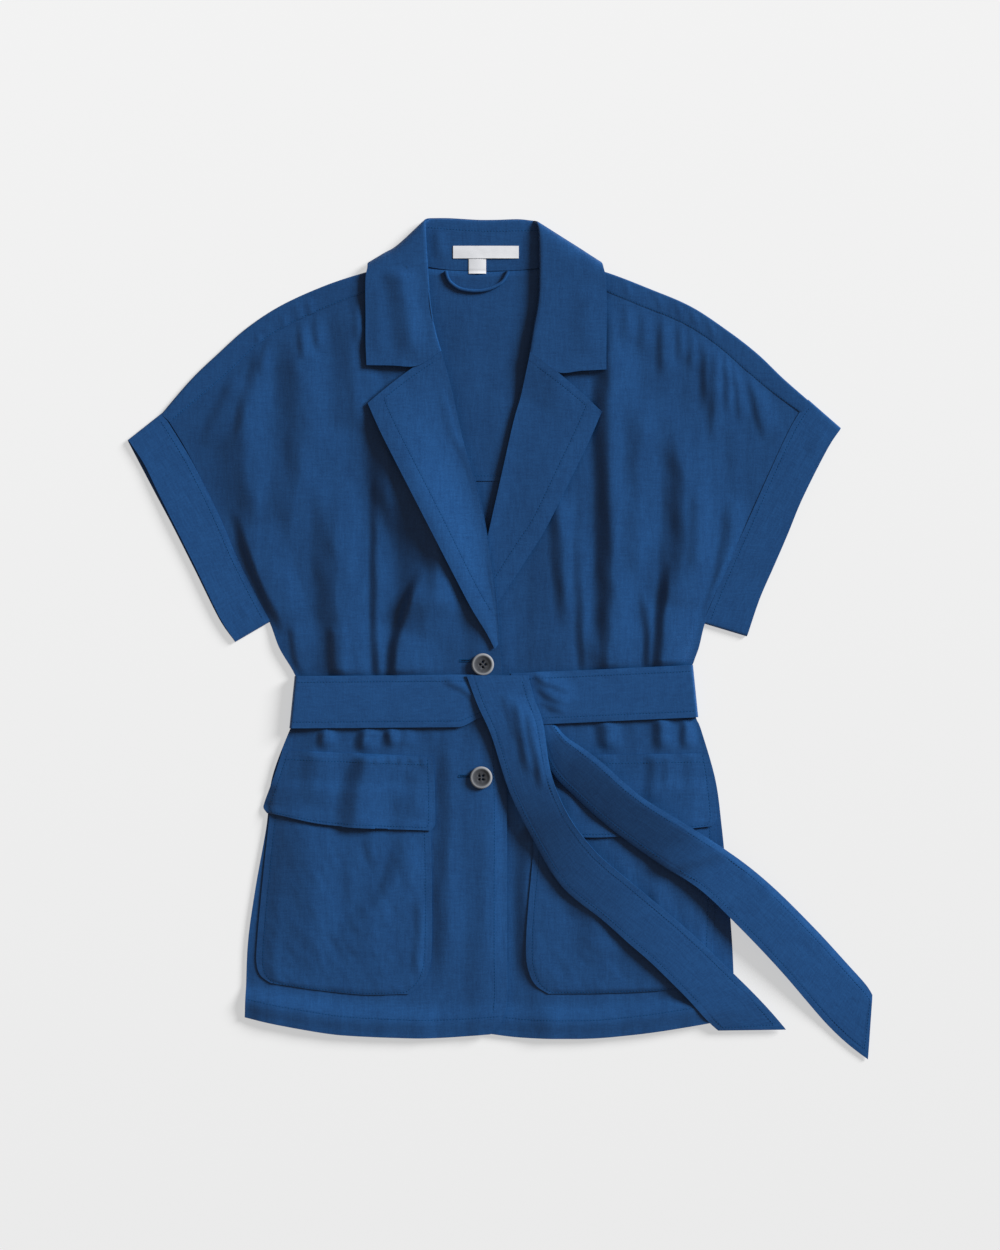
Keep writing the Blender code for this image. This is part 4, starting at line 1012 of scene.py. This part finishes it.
def makePocket(piece):
    def place(down, across):
        x, y = patchPlan(piece, down, across)
        base = restingHeight(x, y, [piece["under"]])
        base = np.maximum(np.maximum(soften(base, 24), soften(base, 3)), base - 0.1)
        sides = inner(0.12, across) * ease(0.0, 0.1, 1.0 - down)
        puff = patchForm["puff"] * sides * ease(-0.1, 0.1, down)
        soft = 0.5 * ripple(x, y, 26.0, 34.0, 4.4) + 0.34 * ripple(x + 0.5 * y, y, 8.0, 15.0, 8.1)
        lines = (creaseHeight(x, y, piece["creases"]) + soft) * sides
        clear = between(0.86, 1.15, np.maximum(ease(0.0, 0.12, across), ease(0.9, 1.0, down)))
        return x, y, base + clear + puff + np.maximum(lines, -1.0)

    sewPatch(piece, patchForm["pocketGrid"], place)


def makeFlap(piece, pocket):
    def place(down, across):
        x, y = patchPlan(piece, down, across)
        front = restingHeight(x, y, [piece["under"]])
        stack = restingHeight(x, y, [piece["under"], pocket["node"] + ".cloth"])
        base = np.maximum(soften(stack, 16), soften(front, 10))
        base = between(soften(front, 3), base, ease(0.0, 0.2, down))
        lift = between(1.0, 1.3, ease(0.04, 0.3, down)) + patchForm["kick"] * ease(0.45, 1.0, down)
        soft = 0.35 * ripple(x, y, 22.0, 30.0, 1.7)
        lines = (creaseHeight(x, y, piece["creases"]) + soft) * inner(0.05, across) * ease(0.0, 0.08, down)
        return x, y, base + lift + np.maximum(lines, -0.8)

    sewPatch(piece, patchForm["flapGrid"], place)
    sew(piece["node"] + ".cloth", [(patchForm["flapLine"], 0.03), (patchForm["flapLine"], 0.97)])


for flap, pocket in ((leftFlap, leftPocket), (rightFlap, rightPocket)):
    makePocket(pocket)
    makeFlap(flap, pocket)
print("pockets and flaps made")


beltBand = {
    "frontZ": 9.6,
    "leftX": -177.5, "rightX": 192.0,
    "leftEnd": -1.0, "rightEnd": 22.0,
    "reach": 2.0,              # how far the side turns stand out
    "span": 48.4,
    "clear": 1.15,
    "curl": (9.0, 1.2),        # of the end under the knot: how far it turns up and dips
    "grain": (0.049, 0.8),
    "stitches": (0.118, 0.882),
    "creases": [
        ([(42, 338), (56, 328), (78, 320)], 2, 5, 1),
        ([(46, 324), (60, 314), (78, 309)], 1.8, 5, 0.9),
        ([(50, 310), (62, 304), (76, 301)], 1.8, 5, 0.8),
        ([(40, 334), (56, 318), (66, 300)], 5, 14, 1.6),
        ([(-40, 330), (-22, 322), (-4, 308)], 2.4, 6, 1.3),
    ],
}


def makeBeltBand():  # from its left end round the back to its right end
    front, turnSteps, back, rows = 96, 14, 40, 24
    steps = 2 * front + 2 * turnSteps + back
    frontZ, leftX, rightX = [beltBand[key] for key in ("frontZ", "leftX", "rightX")]
    lowZ = beltWay["thick"] / 2
    middle, radius = (frontZ + lowZ) / 2, (frontZ - lowZ) / 2
    ahead, behind = [np.arange(1, count + 1) / count for count in (front, back)]
    angle = math.pi * np.arange(1, turnSteps + 1) / turnSteps
    out, drop = beltBand["reach"] * np.sin(angle), np.cos(angle)
    leftEnd, rightEnd = beltBand["leftEnd"], beltBand["rightEnd"]
    x = np.concatenate(([leftEnd], between(leftEnd, leftX, ahead), leftX - out, between(leftX, rightX, behind),
                        rightX + out, between(rightX, rightEnd, ahead)))
    z = np.concatenate((np.full(front + 1, frontZ), middle + radius * drop, np.full(back, lowZ),
                        middle - radius * drop, np.full(front, frontZ)))
    top = np.concatenate((np.ones(front + 1), np.maximum(drop, 0.0), np.zeros(back), np.maximum(-drop, 0.0),
                          np.ones(front)))

    def place(alongBelt, across):
        px, pz, up = [np.broadcast_to(field, alongBelt.shape) for field in (x, z, top)]
        turnUp, dip = beltBand["curl"]
        curl = ease(-26.0, -2.0, px) * (px < 5.0) * up * (1.0 - across)
        lean = 0.1 * (across - 0.5) * beltWay["width"] * ease(120.0, 180.0, np.abs(px))
        py = beltMiddle(px) + (across - 0.5) * beltBand["span"] + curl * turnUp
        px = px + np.where(px < 0.0, lean, -lean)
        soft = 0.5 * ripple(px, py, 70.0, 26.0, 5.5) + 0.3 * ripple(px, py, 26.0, 60.0, 2.9)
        soft = soft + creaseHeight(px, py, beltBand["creases"])
        lift = soft * inner(0.08, across) - dip * curl
        crowned = 0.35 * np.sin(math.pi * across) ** 0.5
        under = soften(restingHeight(px, py, ["front_left.cloth", "front_right.cloth"]) + beltBand["clear"], 1)
        return px, py, np.where(up > 0.6, np.maximum(pz + up * (lift + crowned), under), pz + up * lift)

    u, v = gridShares(steps, rows)
    wide, long = beltBand["grain"]
    sheet("belt_band.cloth", steps, rows, place, ["belt_band"], wall=beltWay["thick"],
          grain=np.stack((v * wide, u * long), axis=-1), edge=np.minimum(v, 1.0 - v) * beltBand["span"])
    for first, last in ((0.004, front / steps), (1.0 - front / steps, 0.996)):
        for across in beltBand["stitches"]:
            sew("belt_band.cloth", [(first, across), (last, across)])


# Belt end columns: x, y, turn of the cross line, width, and height of the left and right edge
tailOver = {
    "node": "belt_tail_over",
    "rows": [
        (10.5, 336.5, 0, 57, 11.9, 11.9), (18.5, 312, 6, 53, 13, 12.8), (29, 286, 14, 49, 13.4, 14.6),
        (40.8, 238, 22, 42, 13, 18.4), (59.7, 196.6, 34, 39.5, 12, 21.4), (85.9, 157.6, 48, 45, 11.6, 19.6),
        (122.6, 126.5, 50, 44, 11.6, 16.4), (146.5, 105.8, 49, 45, 12, 13.8),
        (173.5, 82.2, 47, 45.5, 12.2, 12.2),
        (211, 45.5, 28, 49, 10.2, 9.2), (247, 7.3, 0.6, 63, 4.6, 4),
    ],
    "over": ["front_left.cloth", "front_right.cloth", "pocket_right.cloth", "flap_right.cloth",
             "belt_band.cloth"],
    "grainStart": 0,
    "rolled": 0,
    "tucked": 0,
    "creases": [
        ([(24, 318), (30, 284), (38, 242)], 3.4, 9, 2.3),
        ([(36, 306), (43, 270), (50, 228)], 3, 8, 2),
        ([(14, 322), (20, 300), (28, 272)], 3, 8, 1),
    ],
}
tailUnder = {
    "node": "belt_tail_under",
    "rows": [
        (52, 296, 8, 16, 8.4, 8.4), (58, 283, 20, 20, 8.6, 9.6), (65, 270, 36, 27, 10, 14),
        (76, 257, 44, 36, 10.6, 17.6), (93, 242, 44, 40, 11, 21.8), (128, 211, 43, 41, 11.4, 23.2),
        (174, 180, 39, 46, 11.6, 22.4), (215, 153, 40, 45, 14.4, 12.6), (250, 122, 46, 48, 13.4, 12),
        (290, 81, 50, 50, 9, 7.6), (330, 36, 60, 54, 2.9, 2.2), (357, 9.5, 86, 60, 0.7, 0.7),
    ],
    "over": ["front_right.cloth", "pocket_right.cloth", "flap_right.cloth"],
    "grainStart": 0.5,
    "rolled": 1.6,
    "tucked": 0.14,
    "creases": [([(150, 150), (178, 156), (210, 166), (240, 174)], 5, 14, 2.6)],
}
tailForm = {"grid": (170, 26), "clear": 1.3, "crown": 0.5, "lowest": 0.7, "stitches": (6.0, 5.7 / 49.0)}


def makeTail(piece):
    cols, rows = tailForm["grid"]
    table = np.array(piece["rows"])

    def place(down, across):
        row = along(table, down)
        turn = np.radians(row[..., 2])
        off = (across - 0.5) * row[..., 3]
        x = row[..., 0] + off * np.cos(turn)
        y = row[..., 1] + off * np.sin(turn)
        base = restingHeight(x, y, piece["over"])
        clear = np.maximum(soften(base, 10), soften(base, 2)) + tailForm["clear"]
        if piece["tucked"]:  # its first part is hidden in the knot
            clear = clear * ease(0.0, piece["tucked"], down)
        z = between(row[..., 4], row[..., 5], across) + tailForm["crown"] * np.sin(math.pi * across) ** 0.6
        z = z + 0.4 * ripple(down * 400.0, across * 48.0, 60.0, 30.0, 7.7)
        z = z + creaseHeight(x, y, piece["creases"])
        z = z - piece["rolled"] * ease(0.86, 1.0, across)
        short = np.maximum(clear - z, 0.0).max(axis=0)  # each cross line is lifted clear as a whole
        z = np.maximum(z + soften(np.tile(short, (len(z), 1)), 12) * (1.0 - 0.6 * across), clear)
        return x, y, np.maximum(z, tailForm["lowest"])

    u, v = gridShares(cols, rows)
    row = along(table, u)
    reach = np.concatenate(([0.0], np.cumsum(np.hypot(np.diff(row[0, :, 0]), np.diff(row[0, :, 1])))))
    ends = np.broadcast_to(reach, u.shape)
    grain = np.stack((v * beltBand["grain"][0], ends * garment["metre"] + piece["grainStart"]), axis=-1)
    edge = np.minimum(np.minimum(v, 1.0 - v) * row[..., 3], reach[-1] - ends)
    name = piece["node"] + ".cloth"
    sheet(name, cols, rows, place, [piece["node"]], wall=beltWay["thick"], grain=grain, edge=edge)
    inset, side = tailForm["stitches"]
    sewRound(name, 0.03, 1.0 - inset / reach[-1], side)


makeBeltBand()
makeTail(tailUnder)
makeTail(tailOver)
print("belt made")


# Small finishes: specular, noise counts a metre, noise detail, dark and light colour, roughness and its spread
smallFinishes = {
    "buttonHorn": (0.5, (420, 420, 420), 4.0, (0.034, 0.037, 0.045, 1.0), (0.34, 0.35, 0.37, 1.0), 0.34, 0.16),
    "threadBlue": (0.25, (2600, 2600, 2600), 2.0, (0.0036, 0.042, 0.132, 1.0),
                   (0.0066, 0.066, 0.196, 1.0), 0.55, 0.2),
    # the dark thread finish also paints the shade in the buttonhole slits
    "darkThreadAndSlitShade": (0.25, (2600, 2600, 2600), 2.0, (0.004, 0.008, 0.018, 1.0),
                   (0.008, 0.016, 0.034, 1.0), 0.55, 0.2),
    "labelTape": (0.3, (300, 3000, 300), 2.0, (0.72, 0.73, 0.77, 1.0), (0.86, 0.87, 0.90, 1.0), 0.6, 0.2),
}
hornLook = {"coat": 0.25, "coatRough": 0.15, "cloudy": 0.16, "rim": 0.75}
tapeLook = {"bump": 0.2, "depth": 0.0003}


def makeSmallFinish(name, specular, counts, detail, dark, light, rough, spread):
    shader, start = newFinish(name, {"Specular IOR Level": specular})
    coords = start.node("ShaderNodeTexCoord", {}, {}, out="Object")
    speckle = stretchedNoise(start, coords, counts, detail)
    tone = speckle
    if name == "buttonHorn":
        shader.inputs["Coat Weight"].default_value = hornLook["coat"]
        shader.inputs["Coat Roughness"].default_value = hornLook["coatRough"]
        tone = hornLook["cloudy"] * speckle + readAttribute(start, "rim") * hornLook["rim"]
    feed(shader, "Base Color", mixColours(start, tone, dark, light))
    feed(shader, "Roughness", rough + spread * speckle)
    if name == "labelTape":
        bump(shader, start, speckle, tapeLook["bump"], tapeLook["depth"])


for finishName, finishLook in smallFinishes.items():
    makeSmallFinish(finishName, *finishLook)


buttons = {
    "radius": 10.4, "thick": 3.2, "hole": 1.15, "ring": 2.35, "gap": 0.6,
    "profile": [(0, 0.56), (0.50, 0.58), (0.66, 0.70), (0.76, 0.94), (0.84, 1), (0.92, 0.96), (0.98, 0.76),
                (1, 0.50), (0.95, 0.22), (0.82, 0.04), (0, 0)],  # shares of radius and thickness
    "places": {"button_top": (-3, 346.6, 0), "button_low": (-4.5, 241.8, 45)},
    "cloth": 0.5,              # from the middle of the front's cloth to its top
    "drill": 12.0,
}


def buttonBase(x, y):
    return heightUnder("front_left.cloth", x, y) + buttons["cloth"] + buttons["gap"]


def moveTo(shape, spot):
    for vert in shape.verts:
        vert.co = toMetres(np.array(vert.co) + np.array(spot))


def buttonDisc(spin):
    shape = bmesh.new()
    rim = shape.verts.layers.float.new("rim")
    ring = [shape.verts.new((r * buttons["radius"], 0.0, h * buttons["thick"])) for r, h in buttons["profile"]]
    for vert, (r, h) in zip(ring, buttons["profile"]):
        vert[rim] = float(ease(0.72, 0.86, r) * ease(0.2, 0.5, h))
    lines = [shape.edges.new(pair) for pair in zip(ring, ring[1:])]
    bmesh.ops.spin(shape, geom=ring + lines, axis=(0, 0, 1), cent=(0, 0, 0), steps=56, angle=2 * math.pi,
                   use_merge=True)
    bmesh.ops.remove_doubles(shape, verts=shape.verts, dist=0.001)
    bmesh.ops.recalc_face_normals(shape, faces=shape.faces)
    turned = Matrix.Rotation(math.radians(spin), 3, "Z")
    bmesh.ops.rotate(shape, verts=shape.verts, cent=(0, 0, 0), matrix=turned)
    return shape


def buttonDrills(spin):
    drills = bmesh.new()
    for hole in range(4):
        angle = math.radians(spin) + math.pi / 2 * hole
        spot = (buttons["ring"] * math.cos(angle), buttons["ring"] * math.sin(angle), 0.0)
        made = bmesh.ops.create_cone(drills, cap_ends=True, segments=20, radius1=buttons["hole"],
                                     radius2=buttons["hole"], depth=buttons["drill"])
        bmesh.ops.translate(drills, verts=made["verts"], vec=spot)
    return drills


def makeButton(name, x, y, spin):
    disc, drills = buttonDisc(spin), buttonDrills(spin)
    for shape in (disc, drills):
        moveTo(shape, (x, y, buttonBase(x, y)))
    piece = placeObject(name + ".disc", toMesh(name + ".disc", disc), "buttonHorn", [name])
    tool = bpy.data.objects.new(name + ".holes", toMesh(name + ".holes", drills, smooth=False))
    bpy.context.scene.collection.objects.link(tool)
    cut = piece.modifiers.new("holes", "BOOLEAN")
    cut.object = tool
    cut.operation = "DIFFERENCE"
    cut.solver = "EXACT"
    ready = piece.evaluated_get(bpy.context.evaluated_depsgraph_get())
    drilled = bpy.data.meshes.new_from_object(ready)
    piece.modifiers.clear()
    piece.data = drilled
    bpy.data.objects.remove(tool)


for buttonName, buttonPlace in buttons["places"].items():
    makeButton(buttonName, *buttonPlace)
print("buttons made")


hangerLoop = {
    "path": [(-37.5, 712), (-35.5, 705.5), (-32, 700.5), (-24, 695.5), (-12, 693.5), (0, 694.5), (10, 698.5),
             (16, 703), (20.8, 712)],
    "radius": 1.45,
    "flat": 0.8,               # height as a share of width
    "lift": 2.2,
    "wall": 0.45,
    "grain": (0.009, 0.066),
}
neckLabel = {"node": "neck_label", "x": (-30.6, 30.4), "y": (723.7, 735.3), "bow": 0.7, "grid": (48, 14)}
sizeTab = {"node": "size_tab", "x": (-16, 0), "y": (709.6, 724.4), "bow": 0.5, "grid": (18, 18)}
tapeForm = {"wall": 0.4, "clear": 0.75, "wave": 0.15, "waveSize": (9.0, 7.0)}


def makeHangerLoop():  # a narrow turned tube of the jacket's own cloth
    cols, rows = 72, 14

    def place(down, around):
        path, after, before = [along(hangerLoop["path"], down + shift) for shift in (0.0, 0.01, -0.01)]
        way = after - before
        turn = 2.0 * math.pi * around
        wide = hangerLoop["radius"] * np.cos(turn) / np.hypot(way[..., 0], way[..., 1])
        tall = hangerLoop["flat"] * hangerLoop["radius"] * np.sin(turn)
        x, y = path[..., 0], path[..., 1]
        return x - way[..., 1] * wide, y + way[..., 0] * wide, backMiddle(x, y) + hangerLoop["lift"] + tall

    u, v = gridShares(cols, rows)
    wide, long = hangerLoop["grain"]
    sheet("hanger_loop.cloth", cols, rows, place, ["hanger_loop"], wall=hangerLoop["wall"], closed=True,
          grain=np.stack((v * wide, u * long), axis=-1))


def makeTape(piece):
    def place(across, up):
        x = between(*piece["x"], across)
        y = between(*piece["y"], up)
        base = restingHeight(x, y, ["collar.cloth", "back_yoke.cloth"])
        base = np.maximum(soften(base, 8), soften(base, 2))
        bow = piece["bow"] * np.sin(math.pi * across) * (1.0 - 0.5 * up)
        wave = tapeForm["wave"] * ripple(x, y, *tapeForm["waveSize"], 3.3)
        return x, y, base + tapeForm["clear"] + bow + wave

    sheet(piece["node"] + ".tape", *piece["grid"], place, [piece["node"]], finish="labelTape", slot="label",
          wall=tapeForm["wall"])


makeHangerLoop()
makeTape(sizeTab)
makeTape(neckLabel)
print("loop, label and tab made")


stitching = {"length": 2.1, "pitch": 2.9, "wide": 0.62, "tall": 0.42, "above": 0.04, "half": 0.9}
buttonholes = {
    "slits": [(-24, -13, 350), (-25, -14, 243)],  # from x to x, and y
    "bite": 1.5,
    "pitch": 0.75,
    "lip": 1.0,
    "endBite": 1.6, "endLip": 0.8,
}
buttonThread = {"depth": 0.4, "strands": (-0.36, 0.0, 0.36), "over": 1.0}
upward = (0.0, 0.0, 1.0)


def seamPlaces(name, corners):  # places along a seam on a sheet, with the sheet's own upward side
    kept = surfaces[name]
    spots = kept["spots"]
    fine = np.linspace(0.0, 1.0, 24, endpoint=False)[:, None]
    line = [between(first, last, fine) for first, last in zip(corners, corners[1:])]
    line = np.concatenate(line + [corners[-1:]])
    col = np.interp(line[:, 0], kept["u"], np.arange(spots.shape[1]))
    row = np.interp(line[:, 1], kept["v"], np.arange(spots.shape[0]))
    left = np.minimum(col.astype(int), spots.shape[1] - 2)
    low = np.minimum(row.astype(int), spots.shape[0] - 2)
    part = (col - left)[:, None]
    lower = between(spots[low, left], spots[low, left + 1], part)
    upper = between(spots[low + 1, left], spots[low + 1, left + 1], part)
    up = np.cross(spots[low, left + 1] - spots[low, left], upper - lower)
    up = up * np.where(up[:, 2:] < 0.0, -1.0, 1.0) / np.maximum(np.linalg.norm(up, axis=1), 1e-9)[:, None]
    return between(lower, upper, (row - low)[:, None]) + up * (kept["wall"] / 2 + stitching["above"]), up


def seamStitches():  # each stitch is its middle, direction, upward side and length
    found = []
    length, half = stitching["length"], stitching["half"]
    for name, corners in seams:
        places, ups = seamPlaces(name, corners)
        steps = np.concatenate(([0.0], np.cumsum(np.linalg.norm(np.diff(places, axis=0), axis=1))))
        for at in np.arange(stitching["pitch"] / 2, steps[-1] - length / 2, stitching["pitch"]):
            first, last, up = [np.array([np.interp(spot, steps, field[:, axis]) for axis in range(3)])
                               for spot, field in ((at - half, places), (at + half, places), (at, ups))]
            found.append(((first + last) / 2, last - first, up, length))
    return found


def buttonholeStitches():
    found = []
    upDown = (0.0, 1.0, 0.0)
    for first, last, y in buttonholes["slits"]:
        for x in np.arange(first, last, buttonholes["pitch"]):
            z = heightUnder("front_left.cloth", x, y) + buttons["cloth"]
            for side in (-buttonholes["lip"], buttonholes["lip"]):
                found.append(((x, y + side, z), upDown, upward, buttonholes["bite"]))
        z = heightUnder("front_left.cloth", first, y) + buttons["cloth"] + 0.05
        for side in (-buttonholes["endLip"], 0.0, buttonholes["endLip"]):
            found.append(((first - 0.5 + 0.3 * side, y + side, z), upDown, upward, buttonholes["endBite"]))
    return found


def buttonThreadsAndSlitShade():
    found = []
    # painted shade: a dark lens along each buttonhole slit stands for the shade in the cut
    for first, last, y in buttonholes["slits"]:
        middle = (first + last) / 2
        spot = (middle, y, heightUnder("front_left.cloth", middle, y) + buttons["cloth"])
        found.append((spot, (1.0, 0.0, 0.0), upward, last - first))
    for x, y, spin in buttons["places"].values():
        top = buttonBase(x, y) + buttonThread["depth"] * buttons["thick"]
        for turn in (0.0, 90.0):
            angle = math.radians(spin + turn)
            way = np.array((math.cos(angle), math.sin(angle), 0.0))
            for strand in buttonThread["strands"]:
                spot = np.array((x, y, top + 0.1 - 0.2 * abs(strand)))
                spot = spot + strand * np.array((-way[1], way[0], 0.0))
                found.append((spot, way, upward, 2.0 * buttons["ring"] + buttonThread["over"]))
    return found


def joinStitches(name, places, finish):  # all rows of stitches are one mesh
    pattern = bmesh.new()
    bmesh.ops.create_uvsphere(pattern, u_segments=6, v_segments=4, radius=0.5)
    corners = np.array([vert.co for vert in pattern.verts])
    faces = [[vert.index for vert in face.verts] for face in pattern.faces]
    pattern.free()
    spots, sides = [], []
    for spot, way, up, length in places:
        way = np.array(way) / np.linalg.norm(way)
        side = np.cross(up, way)
        turned = np.array((way * length, side * stitching["wide"], np.cross(way, side) * stitching["tall"]))
        sides += [[index + len(spots) * len(corners) for index in face] for face in faces]
        spots.append(corners @ turned + np.array(spot))
    mesh = bpy.data.meshes.new(name)
    mesh.from_pydata(toMetres(np.concatenate(spots)).tolist(), [], sides)
    mesh.shade_smooth()
    placeObject(name, mesh, finish, [])


joinStitches("seams.thread", seamStitches() + buttonholeStitches(), "threadBlue")
joinStitches("buttonsAndSlitShade.thread", buttonThreadsAndSlitShade(), "darkThreadAndSlitShade")
print("stitches made:", len(seams), "rows")

# painted light: the floor glows as well as taking light, so shadows on it stay pale; slope makes it glow more
# towards its far end
floorLook = {"size": 9.0, "z": -0.0006, "grey": (0.36, 0.36, 0.36, 1.0), "rough": 0.95,
             "glow": 0.528, "slope": 0.055}


def makeFloor():
    shape = bmesh.new()
    bmesh.ops.create_grid(shape, x_segments=2, y_segments=2, size=floorLook["size"] / 2)
    bmesh.ops.translate(shape, verts=shape.verts, vec=(0.0, 0.0, floorLook["z"]))
    mesh = toMesh("studioFloor", shape, smooth=False)
    floor = bpy.data.objects.new("studioFloor", mesh)
    bpy.context.scene.collection.objects.link(floor)
    look = {"Base Color": floorLook["grey"], "Roughness": floorLook["rough"], "Specular IOR Level": 0.0,
            "Emission Strength": 1.0}
    shader, start = newFinish("studioPaper", look)
    coords = start.node("ShaderNodeTexCoord", {}, {}, out="Object")
    far = start.node("ShaderNodeSeparateXYZ", {}, {"Vector": coords}, out="Y")
    glow = floorLook["glow"] + floorLook["slope"] * far  # painted light: the floor glows more towards its far end
    feed(shader, "Emission Color", start.node("ShaderNodeCombineColor", {}, {0: glow, 1: glow, 2: glow}))
    finishes["studioPaper"].cycles.emission_sampling = "NONE"
    mesh.materials.append(finishes["studioPaper"])


studio = {"key": 5.65, "softness": 22.0, "azimuth": 30.0, "elevation": 25.0, "fill": 0.16}
photoCamera = {"lens": 90.0, "sensor": 36.0, "place": (-0.002, 0.0132, 2.906)}


def makeLight():
    key = bpy.data.lights.new("softKey", "SUN")
    key.energy = studio["key"]
    key.angle = math.radians(studio["softness"])
    lamp = bpy.data.objects.new("softKey", key)
    azimuth, height = math.radians(studio["azimuth"]), math.radians(studio["elevation"])
    across = math.cos(height)
    toLight = Vector((math.cos(azimuth) * across, math.sin(azimuth) * across, math.sin(height)))
    lamp.rotation_euler = toLight.to_track_quat("Z", "Y").to_euler()
    lamp.visible_glossy = False
    bpy.context.scene.collection.objects.link(lamp)
    world = bpy.data.worlds.new("studioAir")
    world.use_nodes = True
    air = world.node_tree.nodes["Background"].inputs
    air["Color"].default_value = (1.0, 1.0, 1.0, 1.0)
    air["Strength"].default_value = studio["fill"]
    bpy.context.scene.world = world
    bpy.context.scene.view_settings.view_transform = "Standard"


def makeCamera():
    camera = bpy.data.objects.new("photoCamera", bpy.data.cameras.new("photoCamera"))
    camera.data.lens = photoCamera["lens"]
    camera.data.sensor_width = photoCamera["sensor"]
    camera.location = photoCamera["place"]
    bpy.context.scene.collection.objects.link(camera)
    bpy.context.scene.camera = camera


makeFloor()
makeLight()
makeCamera()
print("studio made")
